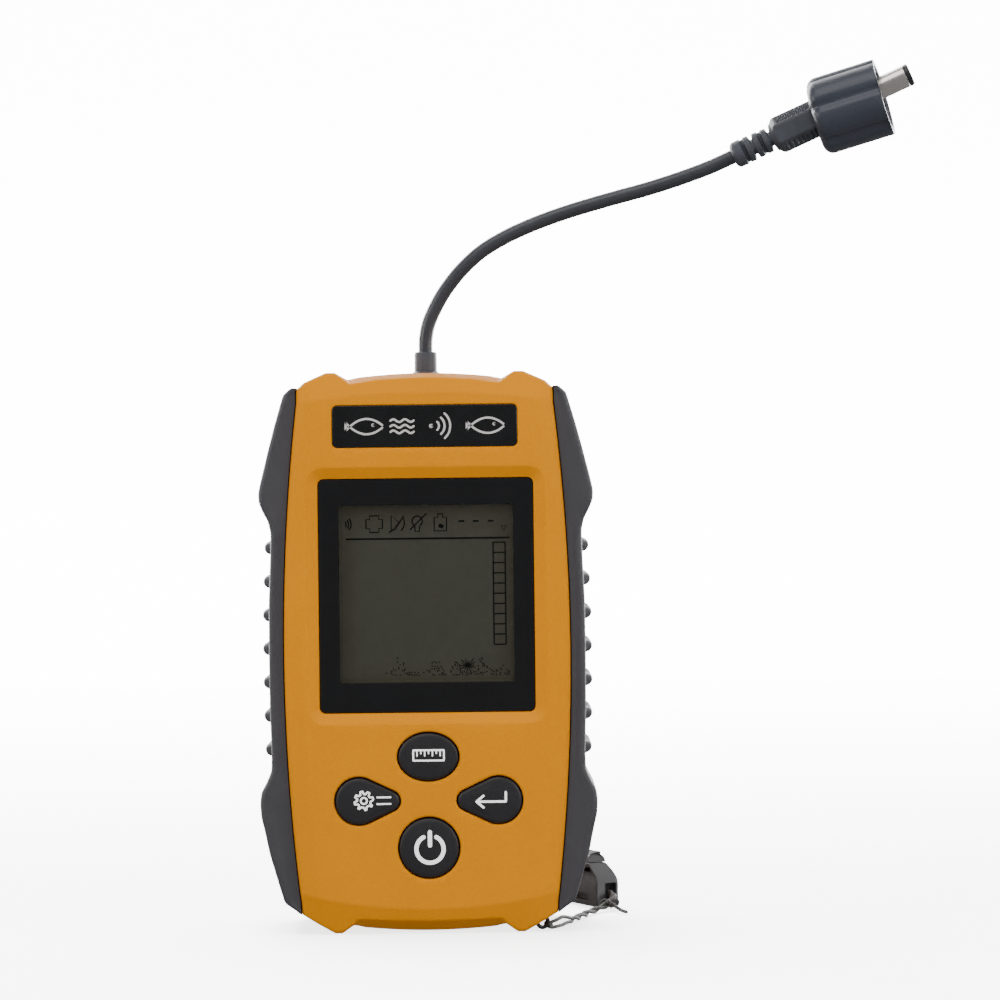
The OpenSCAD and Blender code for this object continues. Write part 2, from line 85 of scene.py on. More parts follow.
def unit(v):
    """A vector scaled to length 1."""
    return np.asarray(v, float) / np.linalg.norm(v)


def joint(name):
    """The record of a joint, by its name."""
    return next(j for j in frame["record"]["behaviour"]["joints"] if j["name"] == name)


def mount(name):
    """The record of a mount, by its name."""
    return next(m for m in frame["record"]["mounts"] if m["name"] == name)


# ---------------------------------------------------------------- places and sizes from the frame

RIGHT, UP = np.array([1.0, 0.0, 0.0]), np.array([0.0, 0.0, 1.0])
TO_BACK, TO_CAMERA = np.array([0.0, 1.0, 0.0]), np.array([0.0, -1.0, 0.0])

FACE_Y = node_box("front_shell")[0][1]
BACK_Y = node_box("rear_shell")[1][1]
SEAM_FRONT = node_box("front_shell")[1][1]
SEAM_BACK = node_box("rear_shell")[0][1]
BODY_H = node_box("rear_shell")[1][2]
HALF_W = node_box("front_shell")[1][0]
SIDE_R = 508.0
END_R = 143.0
END_GAP = 0.2
WALL = 2.2
FACE_T = 3.2

# Outline of the shells between their sides: distance from the middle and height
FOOT = np.array([[18.4, 1.9], [21.2, 0.0], [23.0, 0.0], [31.0, 4.6]])
EAR = np.array([[18.6, 133.9], [21.6, 135.6], [23.8, 135.6], [29.2, 133.2], [30.9, 131.6]])

# Outer side of a grip: distance from the middle and height
GRIP_SIDE = np.array([
    [31.3, 4.7], [35.2, 7.4], [37, 13.4], [38.7, 19.2], [39.8, 24.6], [40.7, 28.4], [40.9, 31.6],
    [40.6, 34.2], [39.2, 36.8], [38.1, 39.4], [38, 44], [38.3, 54], [38.4, 66], [38.3, 80],
    [37.8, 92], [37.7, 97], [38.3, 99.8], [39.6, 102.2], [40.5, 104.4], [40.6, 106.6],
    [40.1, 109], [38.1, 117], [36.5, 123], [34.8, 128.8], [34.2, 130.6], [32.4, 132]])
RIB_Z = 93.4 - 8.16 * np.arange(7)

# Half size and height of the screen's window
SCREEN_HALF = (21.1, 21.5)
SCREEN_Z = 82.0

# Route of the lead from the top of its gland to the plug
LEAD_ROUTE = np.array([
    [0, 3, 141.2], [0.1, 3, 144.4], [0.8, 3, 148], [2.4, 3, 151.8], [5, 3, 156.3], [9, 3, 161.3],
    [14, 3, 165.8], [20, 3, 169.4], [27, 3, 172.5], [34, 3, 175], [41, 3, 177.1], [48, 2.9, 179],
    [55, 2.6, 180.8], [62, 2.1, 182.9], [68.8, 1.3, 185.2], [72.8, 0.8, 186.8], [76.4, 0.2, 188.4]])
LEAD_D = 3.5
# Route of the lanyard cord from its eye over the floor to the buckle
CORD_ROUTE = np.array([
    [28.6, -12.8, 1.1], [30.4, -11, 1], [32, -8, 1], [33.6, -4, 1], [35.4, 1, 1], [37.6, 8, 1],
    [40, 15, 1], [43, 20.4, 1.4], [45.2, 23.6, 3], [45.6, 25.5, 4], [44.7, 27.2, 4]])
STRAND_D = 0.87
# Length of the open eye where the cord leaves its lug
EYE_L = 12.5

PLUG_AT = LEAD_ROUTE[-1]
PLUG_AXIS = unit(mount("dc_plug")["axis"])
COLLAR_AT = np.array(joint("collar_spin")["pos_m"]) / MM
COLLAR_AXIS = unit(joint("collar_spin")["axis"])
RELIEF_L = 11.3
PLUG_GRIP_L = 11.5
BARREL_AT = 33.26
TIP_L = 47.7
TIP_RING = 1.3
BUCKLE_AT = np.array([44.2, 27.0, 0.0])
BUCKLE_X = unit(joint("buckle_release")["axis"])
BUCKLE_Y = np.array([-BUCKLE_X[1], BUCKLE_X[0], 0.0])
HINGE = np.array(joint("battery_door_hinge")["pos_m"]) / MM
# Places of the four case screws in X and Z
CASE_SCREWS = [(x, z) for x in (-26, 26) for z in (8, 127)]
STRAP_W = 10.0


# ---------------------------------------------------------------- settings

def length(name, description, mm):
    """A length setting, stored in metres, from its default in millimetres."""
    return bpy.props.FloatProperty(name=name, description=description, default=mm * MM,
                                   min=0, soft_max=0.2, precision=5, unit="LENGTH")


def tint(name, description, code):
    """A colour setting, from its sRGB hex value."""
    return bpy.props.FloatVectorProperty(name=name, description=description, subtype="COLOR",
                                         size=3, min=0, max=1, default=linear(code)[:3])


def linear(code):
    """Linear RGBA of an sRGB hex value: the power curve above 0.04045 and a straight line below."""
    s = np.array([int(code[k:k + 2], 16) / 255 for k in (1, 3, 5)])
    low = s <= 0.04045
    return (*np.where(low, s / 12.92, ((s + 0.055) / 1.055) ** 2.4).tolist(), 1.0)


class FinderSizes(bpy.types.PropertyGroup):
    side_slope: length("Side slope", "Width of the soft slope along each side of the face", 5.0)
    side_drop: length("Side drop", "How far the face falls back at its sides", 1.5)
    edge_round: length("Edge rounding", "Radius of the shells' outer edges", 0.9)
    back_round: length("Back rounding", "Radius of the rear shell's outer edges", 3.2)
    lens_slope: length("Lens slope", "Width of the sloping border around the lens", 2.7)
    lip_round: length("Lip rounding", "Radius of the lips around keys and the name plate", 0.35)
    key_crown: length("Key crown", "How far a key's middle stands above its rim", 0.45)
    rib_radius: length("Rib radius", "Radius of a finger rib on the grips", 1.65)
    grip_round: length("Grip rounding", "Radius of the grips' outer edges", 1.3)
    print_t: length("Print thickness", "Thickness of printed symbols", 0.04)
    knurl_pitch: length("Knurl pitch", "Distance between the plug grip's knurls", 1.1)
    thread_pitch: length("Thread pitch", "Pitch of the collar's inner thread", 1.5)
    strand_twist: length("Strand twist", "Length of one turn of the twisted cord", 13.0)
    strap_pitch: length("Strap pitch", "Distance between two layers of wound webbing", 1.02)


class FinderColours(bpy.types.PropertyGroup):
    yellow: tint("Shell yellow", "Colour of the moulded shells", "#F29700")
    grip: tint("Grip grey", "Colour of the rubber grips", "#434246")
    key: tint("Key black", "Colour of the keys", "#222124")
    white: tint("Print white", "Colour of the printed symbols", "#F2F1EF")
    screen: tint("Screen grey", "Colour of the liquid crystal cell at rest", "#4C4A42")
    lead: tint("Lead grey", "Colour of the lead's sheath", "#383A40")
    collar: tint("Collar grey", "Colour of the plug's collar", "#3A3E48")
    cord: tint("Cord grey", "Colour of the lanyard cord", "#4A4744")
    buckle: tint("Buckle grey", "Colour of the buckle", "#464547")
    webbing: tint("Webbing black", "Colour of the neck strap", "#2A2C30")


def mm(value):
    """A length setting in millimetres."""
    return value / MM


# ---------------------------------------------------------------- meshes

def skin(grid, wrap=True, ends=True):
    """Points and faces of a surface on a grid of points (rows, columns, 3): a quad for each cell.

    wrap joins the last column to the first, and ends closes the first and last rows with a face.
    """
    rows, columns = grid.shape[:2]
    index = np.arange(rows * columns).reshape(rows, columns)
    across = np.roll(index, -1, axis=1) if wrap else index[:, 1:]
    near = index if wrap else index[:, :-1]
    quads = np.stack([near[:-1], across[:-1], across[1:], near[1:]], axis=-1).reshape(-1, 4)
    faces = [quads]
    if wrap and ends:
        faces += [index[:1, ::-1], index[-1:]]
    return grid.reshape(-1, 3), faces


def ring_skin(grid):
    """Points and faces of a closed ring: a grid that is joined both along and across."""
    points, faces = skin(np.concatenate([grid, grid[:1]]), ends=False)
    return points, faces


def mesh_of(name, parts):
    """A mesh of one or more (points, faces) parts, in metres, with its faces turned outwards."""
    offset, points, faces = 0, [], []
    for part_points, part_faces in parts:
        points.append(part_points)
        faces += [f + offset for f in part_faces]
        offset += len(part_points)
    corners = np.concatenate([f.ravel() for f in faces])
    counts = np.concatenate([np.full(len(f), f.shape[1]) for f in faces])
    mesh = bpy.data.meshes.new(name)
    mesh.vertices.add(offset)
    mesh.vertices.foreach_set("co", (np.concatenate(points) * MM).ravel())
    mesh.loops.add(len(corners))
    mesh.loops.foreach_set("vertex_index", corners.astype(np.int32))
    mesh.polygons.add(len(counts))
    mesh.polygons.foreach_set("loop_start", (np.cumsum(counts) - counts).astype(np.int32))
    mesh.update(calc_edges=True)
    work = bmesh.new()
    work.from_mesh(mesh)
    bmesh.ops.remove_doubles(work, verts=work.verts, dist=0.004 * MM)
    bmesh.ops.recalc_face_normals(work, faces=work.faces)
    work.to_mesh(mesh)
    work.free()
    mesh.update()
    return mesh


def corners_of(mesh):
    """The point at each face corner of a mesh, in order."""
    corner = np.zeros(len(mesh.loops), np.int32)
    mesh.loops.foreach_get("vertex_index", corner)
    return corner


def map_along(mesh, across, distance):
    """Gives a mesh its own map: U runs across or round the piece and V along it, in metres."""
    uv = np.stack([across, distance], axis=1).astype(np.float32)
    mesh.uv_layers.new(name="along").data.foreach_set("uv", uv.ravel())


def shade(mesh, sharp=35):
    """Smooth shading, kept sharp where two faces meet at more than a given angle."""
    mesh.polygons.foreach_set("use_smooth", np.ones(len(mesh.polygons), bool))
    mesh.set_sharp_from_angle(angle=math.radians(sharp))


def add_piece(name, parts, material, body, nodes=(), sharp=35):
    """Adds a piece made of closed parts, which rides on a body and may stand for frame nodes."""
    mesh = parts if isinstance(parts, bpy.types.Mesh) else mesh_of(name, parts)
    mesh.name = name
    shade(mesh, sharp)
    mesh.materials.clear()
    mesh.materials.append(material)
    piece = bpy.data.objects.new(name, mesh)
    bpy.context.scene.collection.objects.link(piece)
    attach(piece, body)
    if nodes:
        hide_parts(*nodes)
    return piece


def carve(parts, cutters, added=()):
    """The mesh of parts with each cutter taken away, then each added part joined on."""
    links = bpy.context.scene.collection.objects
    base = bpy.data.objects.new("base", mesh_of("base", parts))
    links.link(base)
    tools = []
    for operation, group in (("DIFFERENCE", cutters), ("UNION", added)):
        for part in group:
            tool = bpy.data.objects.new("tool", mesh_of("tool", [part]))
            links.link(tool)
            tools.append(tool)
            cut = base.modifiers.new("cut", "BOOLEAN")
            cut.operation = operation
            cut.solver = "EXACT"
            cut.object = tool
    ready = bpy.context.evaluated_depsgraph_get()
    mesh = bpy.data.meshes.new_from_object(base.evaluated_get(ready))
    for thing in [base, *tools]:
        data = thing.data
        bpy.data.objects.remove(thing)
        bpy.data.meshes.remove(data)
    return mesh


def dress(name, material):
    """Gives a frame node its finish, on both of its sides."""
    mesh = frame["nodes"][name].data
    mesh.materials.clear()
    mesh.materials.append(material)
    frame["nodes"][name].material_slots[0].material = material


def smooth_path(points, per):
    """Points on a smooth curve through all the given ones: a Catmull-Rom cubic in each span."""
    p = np.concatenate([[2 * points[0] - points[1]], points, [2 * points[-1] - points[-2]]])
    t = (np.arange(per) / per)[None, :, None]
    a, b, c, d = (p[k:len(p) - 3 + k][:, None, :] for k in range(4))
    curve = 0.5 * (2 * b + (c - a) * t + (2 * a - 5 * b + 4 * c - d) * t ** 2
                   + (3 * b - a - 3 * c + d) * t ** 3)
    return np.concatenate([curve.reshape(-1, 3), points[-1:]])


def along(path):
    """Distance from the start of a path to each of its points."""
    return np.concatenate([[0], np.cumsum(np.linalg.norm(np.diff(path, axis=0), axis=1))])


def path_frames(path, side):
    """Two directions across a path at each of its points; the first stays nearest to side."""
    heading = np.gradient(path, axis=0)
    heading /= np.linalg.norm(heading, axis=1, keepdims=True)
    first = side - heading * (heading @ side)[:, None]
    first /= np.linalg.norm(first, axis=1, keepdims=True)
    return first, np.cross(heading, first)


def sweep(path, radius, side, count=16):
    """A tube along a path: at each point a circle of the given radius, which may differ by point
    and by angle, is laid across the path."""
    angle = np.arange(count) * 2 * math.pi / count
    first, second = path_frames(path, side)
    radius = np.broadcast_to(np.asarray(radius, float), (len(path), count))[..., None]
    ring = (np.cos(angle)[None, :, None] * first[:, None, :]
            + np.sin(angle)[None, :, None] * second[:, None, :])
    return path[:, None, :] + radius * ring


def turned(profile, start, axis, side, count=64, change=None):
    """A profile of (distance along, radius) turned about an axis; change alters the radii by
    angle. Angles run from side, towards the axis crossed with it."""
    profile = np.asarray(profile, float)
    angle = np.arange(count) * 2 * math.pi / count
    first = unit(side - axis * (axis @ side))
    second = np.cross(axis, first)
    radius = np.repeat(profile[:, 1:2], count, axis=1)
    if change is not None:
        radius = change(profile[:, 0:1], angle[None, :], radius)
    ring = (np.cos(angle)[None, :, None] * first + np.sin(angle)[None, :, None] * second)
    return start + profile[:, 0][:, None, None] * axis + radius[..., None] * ring


def bend(corner, radius, start, end, steps=5):
    """Points of a round corner: an arc of the given radius about a centre, in degrees."""
    t = np.radians(np.linspace(start, end, steps))
    return np.stack([corner[0] + radius * np.cos(t), corner[1] + radius * np.sin(t)], axis=1)


def round_rect(hx, hz, radius, steps=7):
    """Outline of a rectangle with round corners, from its half sizes."""
    centres = [(hx - radius, hz - radius, 0), (radius - hx, hz - radius, 90),
               (radius - hx, radius - hz, 180), (hx - radius, radius - hz, 270)]
    return np.concatenate([bend((x, z), radius, a, a + 90, steps) for x, z, a in centres])


def oval(half_x, half_z, steps=72):
    """Outline of an ellipse, from its half sizes."""
    t = np.arange(steps) * 2 * math.pi / steps
    return np.stack([half_x * np.cos(t), half_z * np.sin(t)], axis=1)


def egg(big, big_r, small, small_r, grow=0.0):
    """Outline of two circles on one line, joined by the straight lines that touch them both."""
    turn = math.degrees(math.acos((big_r - small_r) / (big - small)))
    one = bend((big, 0), big_r + grow, turn - 180, 180 - turn, 41)
    two = bend((small, 0), small_r + grow, 180 - turn, 180 + turn, 25)
    return np.concatenate([one, two])


def laid(outline, depth, centre=(0, 0)):
    """An outline in X and Z as points at a depth along Y, one for all or one for each point."""
    depth = np.broadcast_to(np.asarray(depth, float), len(outline))
    return np.stack([outline[:, 0] + centre[0], depth, outline[:, 1] + centre[1]], axis=1)


def stack(outlines, depths, centre=(0, 0)):
    """A closed solid through outlines in X and Z, each laid at its own depth along Y."""
    return skin(np.stack([laid(o, y, centre) for o, y in zip(outlines, depths)]))


def block(low, high, round_=0.0, steps=4):
    """A box with rounded upright edges, from its lowest and highest corners."""
    low, high = np.asarray(low, float), np.asarray(high, float)
    half, centre = (high - low) / 2, (high + low) / 2
    if round_ <= 0:
        outline = np.array([[1, 1], [-1, 1], [-1, -1], [1, -1]]) * half[[0, 2]]
        return stack([outline, outline], [low[1], high[1]], centre[[0, 2]])
    chamfer = round_ * 0.4
    inner = round_rect(half[0] - chamfer, half[2] - chamfer, max(round_ - chamfer, 0.05), steps)
    outer = round_rect(half[0], half[2], round_, steps)
    depths = [low[1], low[1] + chamfer, high[1] - chamfer, high[1]]
    return stack([inner, outer, outer, inner], depths, centre[[0, 2]])


def placed(part, start, x_axis, y_axis, z_axis=UP):
    """A part moved from its own frame to the one with these axes and origin."""
    points, faces = part
    return start + points @ np.stack([x_axis, y_axis, z_axis]), faces


def mirrored(part):
    """A part mirrored from one side of the middle to the other, its faces turned to match."""
    points, faces = part
    return points * np.array([-1, 1, 1]), [f[:, ::-1] for f in faces]


def line_on(points, width, surface, thickness, closed=False, round_ends=True):
    """A printed line of even width on a surface y = surface(x, z), as a thin closed strip whose
    edges lie half a width to each side of the line."""
    p = np.asarray(points, float)
    if closed:
        p = np.concatenate([p, p[:1]])
        heading = np.roll(p[:-1], -1, axis=0) - np.roll(p[:-1], 1, axis=0)
        heading = np.concatenate([heading, heading[:1]])
    else:
        heading = np.gradient(p, axis=0)
    heading /= np.linalg.norm(heading, axis=1, keepdims=True)
    across = np.stack([-heading[:, 1], heading[:, 0]], axis=1)
    half = np.full(len(p), width / 2)
    if round_ends and not closed:
        # three extra points at each end follow a half circle
        t = np.radians([90, 60, 30])
        reach, narrow = width / 2 * np.sin(t), width / 2 * np.cos(t) + 0.01
        p = np.concatenate([p[0] - reach[:, None] * heading[0], p,
                            p[-1] + reach[::-1, None] * heading[-1]])
        across = np.concatenate([np.repeat(across[:1], 3, 0), across, np.repeat(across[-1:], 3, 0)])
        half = np.concatenate([narrow, half, narrow[::-1]])
    left, right = p + across * half[:, None], p - across * half[:, None]
    rows = []
    for edge, lift in ((left, 1), (right, 1), (right, 0), (left, 0)):
        y = surface(edge[:, 0], edge[:, 1]) - lift * thickness
        rows.append(np.stack([edge[:, 0], y, edge[:, 1]], axis=1))
    return skin(np.stack(rows, axis=1), ends=not closed)


def patch_on(outline, surface, thickness):
    """A filled printed shape on a surface, as a thin closed plate."""
    x, z = np.asarray(outline, float).T
    depth = surface(x, z)
    return stack([np.stack([x, z], axis=1)] * 2, [depth, depth - thickness])


# ---------------------------------------------------------------- finishes

def add_node(tree, kind, links=None, **settings):
    """Adds a node, sets its properties, and fills its inputs with values or other outputs."""
    made = tree.nodes.new(kind)
    for key, value in settings.items():
        setattr(made, key, value)
    for key, value in (links or {}).items():
        if isinstance(value, bpy.types.NodeSocket):
            tree.links.new(value, made.inputs[key])
        else:
            made.inputs[key].default_value = value
    return made


def blank(name):
    """An empty material, with its tree and its output node."""
    material = bpy.data.materials.new(name)
    material.use_nodes = True
    material.node_tree.nodes.clear()
    output = material.node_tree.nodes.new("ShaderNodeOutputMaterial")
    return material, material.node_tree, output


def surfaced(tree, output, links):
    """Gives the material one surface with these inputs."""
    surface = add_node(tree, "ShaderNodeBsdfPrincipled", links).outputs[0]
    tree.links.new(surface, output.inputs[0])


def bumped(tree, height, strength, depth_mm):
    """The surface's direction where a height from 0 to 1 stands for a real depth."""
    return add_node(tree, "ShaderNodeBump", {
        "Height": height, "Strength": strength, "Distance": depth_mm * MM}).outputs[0]


def object_place(tree, stretch=(1, 1, 1)):
    """Object coordinates, stretched along each axis."""
    place = add_node(tree, "ShaderNodeTexCoord").outputs["Object"]
    return add_node(tree, "ShaderNodeMapping", {"Vector": place, "Scale": stretch}).outputs[0]


def noise(tree, place, size_mm, detail=3.0, rough=0.55):
    """Noise whose blobs are about size_mm across."""
    return add_node(tree, "ShaderNodeTexNoise", {
        "Vector": place, "Scale": 1 / (size_mm * MM), "Detail": detail, "Roughness": rough,
    }).outputs["Fac"]


def remap(tree, value, low, high, new_low, new_high):
    """A value carried from one range to another, and held at its ends."""
    return add_node(tree, "ShaderNodeMapRange", {
        "Value": value, "From Min": low, "From Max": high, "To Min": new_low, "To Max": new_high,
    }).outputs["Result"]


def blend_colour(tree, share, one, two, mode="MIX"):
    """Two colours blended by a share of the second."""
    made = add_node(tree, "ShaderNodeMix", data_type="RGBA", blend_type=mode)
    for key, value in ((0, share), (6, one), (7, two)):
        if isinstance(value, bpy.types.NodeSocket):
            tree.links.new(value, made.inputs[key])
        else:
            made.inputs[key].default_value = value
    return made.outputs[2]


def calc(tree, operation, a, b=0.0, c=0.0):
    """One step of arithmetic on values or outputs."""
    made = tree.nodes.new("ShaderNodeMath")
    made.operation = operation
    for key, value in enumerate((a, b, c)):
        if isinstance(value, bpy.types.NodeSocket):
            tree.links.new(value, made.inputs[key])
        else:
            made.inputs[key].default_value = value
    return made.outputs[0]


def scaled(colour, factor):
    """A colour made lighter or darker, and opaque."""
    return (*[min(1.0, c * factor) for c in colour[:3]], 1.0)


def moulded(name, colour, rough, grain_mm, grain_depth, shift=0.12, blotch_mm=14.0, **shader):
    """A moulded plastic or rubber: soft blotches in its colour, a fine grain from the mould in
    its surface, and a roughness that changes a little with both."""
    material, tree, output = blank(name)
    place = object_place(tree)
    blotch = noise(tree, place, blotch_mm)
    grain = noise(tree, place, grain_mm, 2.0, 0.5)
    fleck = noise(tree, place, grain_mm * 0.6, 1.0, 0.5)
    share = remap(tree, blotch, 0.3, 0.7, 0.0, 1.0)
    base = blend_colour(tree, share, scaled(colour, 1 - shift), scaled(colour, 1 + shift))
    speck = remap(tree, fleck, 0.35, 0.65, 0.0, 1.0)
    base = blend_colour(tree, speck, base, blend_colour(tree, 1.0, base, scaled((1, 1, 1), 0.93),
                                                        "MULTIPLY"))
    worn = calc(tree, "ADD", remap(tree, grain, 0.3, 0.7, rough - 0.05, rough + 0.05),
                remap(tree, blotch, 0.3, 0.7, -0.03, 0.03))
    bump = bumped(tree, grain, 0.6, grain_depth)
    surfaced(tree, output, {
        "Base Color": base, "Roughness": worn, "Normal": bump, **shader})
    return material


def make_materials(colours):
    """Every finish of the object, named for what the real one is."""
    c = {k: (*getattr(colours, k), 1.0) for k in FinderColours.__annotations__}
    m = {}
    # Moulded ABS from a spark-eroded tool: an even satin yellow with a grain like fine orange peel
    m["abs"] = moulded("spark_eroded_yellow_abs", c["yellow"], 0.42, 0.45, 0.035, 0.03, 22,
                       **{"Specular IOR Level": 0.15, "Specular Tint": c["yellow"]})
    # Thermoplastic rubber moulded over the sides: matt grey that scatters light softly
    m["rubber"] = moulded("overmoulded_grip_rubber", c["grip"], 0.56, 0.3, 0.02, 0.07, 9)
    # Hard silicone rubber keys: charcoal, slightly silky from handling
    m["key"] = moulded("silicone_rubber_key", c["key"], 0.5, 0.25, 0.012, 0.08, 6)
    # Printed white ink: flat white, with a glow added as painted light to keep it bright, and a
    # trace of the grain below it
    m["print"] = moulded("white_print_painted_glow", c["white"], 0.5, 0.2, 0.005, 0.02, 3,
                         **{"Emission Color": (1, 1, 1, 1), "Emission Strength": 0.9})
    # Black gloss printed polycarbonate: sharp reflections and a little dust
    m["plate"] = moulded("gloss_polycarbonate_plate", linear("#0F1012"), 0.24, 0.8, 0.004, 0.2, 5)
    m["plate_print"] = moulded("silver_screen_print", linear("#DAD6D4"), 0.4, 0.2, 0.005, 0.04, 3)
    # Acrylic lens with its black border printed behind: the clearest gloss on the object
    m["border"] = moulded("black_backed_acrylic", linear("#0E0F11"), 0.12, 1.2, 0.002, 0.15, 8)
    m["clear"] = clear_acrylic("clear_acrylic_window")
    m["cell_glass"] = liquid_crystal("liquid_crystal_glass", c["screen"])
    m["segment"] = moulded("dark_crystal_segment", linear("#0C0C0A"), 0.6, 0.4, 0.002, 0.1, 4,
                           **{"Specular IOR Level": 0.2})
    # Plasticised PVC sheath: smooth, with a soft lengthwise sheen
    m["lead"] = moulded("pvc_sheath", c["lead"], 0.36, 0.5, 0.01, 0.08, 12)
    # Moulded PVC strain relief and gland: darker and more matt than the sheath
    m["pvc"] = moulded("moulded_black_pvc", linear("#464950"), 0.5, 0.3, 0.015, 0.1, 5,
                       **{"Specular IOR Level": 0.35})
    # Nylon collar: a cool dark grey, satin, with long soft highlights on its lobes
    m["collar"] = moulded("satin_nylon_collar", c["collar"], 0.36, 0.35, 0.008, 0.06, 8,
                          **{"Specular IOR Level": 0.45})
    m["nickel"] = turned_metal("nickel_plated_barrel", linear("#E6E0DC"), 0.26)
    m["brass"] = turned_metal("turned_brass_contact", linear("#C9A04A"), 0.24)
    m["tip"] = moulded("black_insulator_ring", linear("#232429"), 0.4, 0.3, 0.005, 0.1, 3)
    # Acetal buckle: mid grey, waxy, with fine tool marks
    m["acetal"] = moulded("moulded_acetal_buckle", c["buckle"], 0.46, 0.3, 0.012, 0.08, 5)
    m["eye"] = moulded("black_acetal_eye", linear("#17171A"), 0.35, 0.3, 0.01, 0.1, 3)
    m["cord"] = twisted_fibre("twisted_nylon_cord", c["cord"])
    m["webbing"] = woven("woven_nylon_webbing", c["webbing"])
    m["tie"] = moulded("elastic_rubber_tie", linear("#3C3E42"), 0.6, 0.3, 0.02, 0.1, 4)
    m["seal"] = moulded("nitrile_seal", linear("#1E1E20"), 0.55, 0.3, 0.01, 0.1, 6)
    m["tray"] = moulded("black_abs_tray", linear("#36363A"), 0.5, 0.4, 0.03, 0.08, 10)
    m["white_plastic"] = moulded("white_polycarbonate", linear("#E8E7E2"), 0.4, 0.4, 0.01, 0.03, 9)
    m["silicone"] = moulded("conductive_silicone", linear("#8C8F94"), 0.6, 0.3, 0.01, 0.08, 6)
    m["zebra"] = moulded("zebra_strip_silicone", linear("#B8607A"), 0.6, 0.3, 0.01, 0.08, 3)
    m["epoxy"] = moulded("moulded_epoxy_chip", linear("#1D1D1F"), 0.6, 0.2, 0.01, 0.1, 3)
    m["ferrite"] = moulded("enamelled_winding", linear("#B98A35"), 0.4, 0.25, 0.06, 0.15, 2)
    m["board"] = circuit_board("green_solder_resist", linear("#1C6B3C"))
    m["steel"] = turned_metal("zinc_plated_steel", linear("#B9BCC2"), 0.3)
    m["cell"] = battery_wrap("printed_cell_wrap", linear("#2F4568"), linear("#C9CDD3"))
    return m


def clear_acrylic(name):
    """Cast acrylic: nearly all light goes straight through, and the rest is a sharp reflection
    that grows towards the edges of sight."""
    material, tree, output = blank(name)
    gloss = add_node(tree, "ShaderNodeBsdfPrincipled", {
        "Base Color": (0.01, 0.01, 0.011, 1), "Roughness": 0.04, "IOR": 1.49}).outputs[0]
    through = add_node(tree, "ShaderNodeBsdfTransparent", {"Color": (0.9, 0.91, 0.9, 1)}).outputs[0]
    edge = add_node(tree, "ShaderNodeLayerWeight", {"Blend": 0.5}).outputs["Facing"]
    share = calc(tree, "MULTIPLY_ADD", calc(tree, "POWER", edge, 4.0), 0.6, 0.012)
    mixed = add_node(tree, "ShaderNodeMixShader", {0: share, 1: through, 2: gloss}).outputs[0]
    tree.links.new(mixed, output.inputs[0])
    return material


def liquid_crystal(name, colour):
    """A reflective crystal cell: olive grey, with a faint dot grid of 0.5 mm and warmer edges."""
    material, tree, output = blank(name)
    place = object_place(tree)
    low, high = node_box("lcd_panel")
    middle = ((low + high) / 2 * MM).tolist()
    split = add_node(tree, "ShaderNodeSeparateXYZ", {"Vector": place})
    across = calc(tree, "ABSOLUTE", split.outputs["X"])
    upward = calc(tree, "ABSOLUTE", calc(tree, "SUBTRACT", split.outputs["Z"], middle[2]))
    rim = remap(tree, calc(tree, "MAXIMUM", across, upward), 0.015, 0.022, 0.0, 1.0)
    warm = blend_colour(tree, 1.0, colour, (1.0, 0.9, 0.72, 1), "MULTIPLY")
    base = blend_colour(tree, rim, colour, warm)
    dots = [calc(tree, "SINE", calc(tree, "MULTIPLY", split.outputs[k], 2 * math.pi / (0.5 * MM)))
            for k in ("X", "Z")]
    grid = remap(tree, calc(tree, "MAXIMUM", *dots), 0.8, 1.0, 0.0, 0.16)
    base = blend_colour(tree, grid, base, scaled(colour, 0.6))
    haze = remap(tree, noise(tree, place, 9), 0.3, 0.7, 0.0, 0.25)
    base = blend_colour(tree, haze, base, scaled(colour, 1.2))
    surfaced(tree, output, {"Base Color": base, "Roughness": 0.35})
    return material


def turned_metal(name, colour, rough):
    """Turned or plated metal: fine rings from the tool, 0.2 mm apart, and tiny stains."""
    material, tree, output = blank(name)
    place = object_place(tree)
    stain = noise(tree, place, 3)
    rings = noise(tree, object_place(tree, (8, 1, 1)), 1.2, 1.0)
    worn = calc(tree, "ADD", remap(tree, rings, 0.3, 0.7, rough - 0.05, rough + 0.05),
                remap(tree, stain, 0.5, 0.8, 0.0, 0.12))
    base = blend_colour(tree, remap(tree, stain, 0.4, 0.8, 0, 0.35), colour, scaled(colour, 0.75))
    bump = bumped(tree, rings, 0.25, 0.01)
    surfaced(tree, output, {
        "Base Color": base, "Metallic": 1.0, "Roughness": worn, "Normal": bump})
    return material


def twisted_fibre(name, colour):
    """Nylon yarn: fibres that wind round each strand, 0.22 mm apart, with painted shade in the
    grooves between them and a painted highlight on their crests.

    The piece's own map runs round the strand in U and along it in V, in metres."""
    material, tree, output = blank(name)
    place = add_node(tree, "ShaderNodeUVMap", uv_map="along").outputs[0]
    split = add_node(tree, "ShaderNodeSeparateXYZ", {"Vector": place})
    slant = calc(tree, "ADD", calc(tree, "MULTIPLY", split.outputs["X"], 6.0),
                 calc(tree, "DIVIDE", split.outputs["Y"], 0.55 * MM))
    wave = calc(tree, "SINE", calc(tree, "MULTIPLY", slant, 2 * math.pi))
    height = remap(tree, wave, -1, 1, 0, 1)
    tuft = noise(tree, object_place(tree), 0.5)
    # painted shade and painted highlight: darker where the bump's wave dips, lighter on its crests
    base = blend_colour(tree, height, scaled(colour, 0.55), scaled(colour, 1.25))
    base = blend_colour(tree, remap(tree, tuft, 0.4, 0.6, 0, 0.5), base, scaled(colour, 0.85))
    bump = bumped(tree, height, 0.9, 0.12)
    surfaced(tree, output, {
        "Base Color": base, "Roughness": 0.62, "Sheen Weight": 0.25, "Normal": bump})
    return material


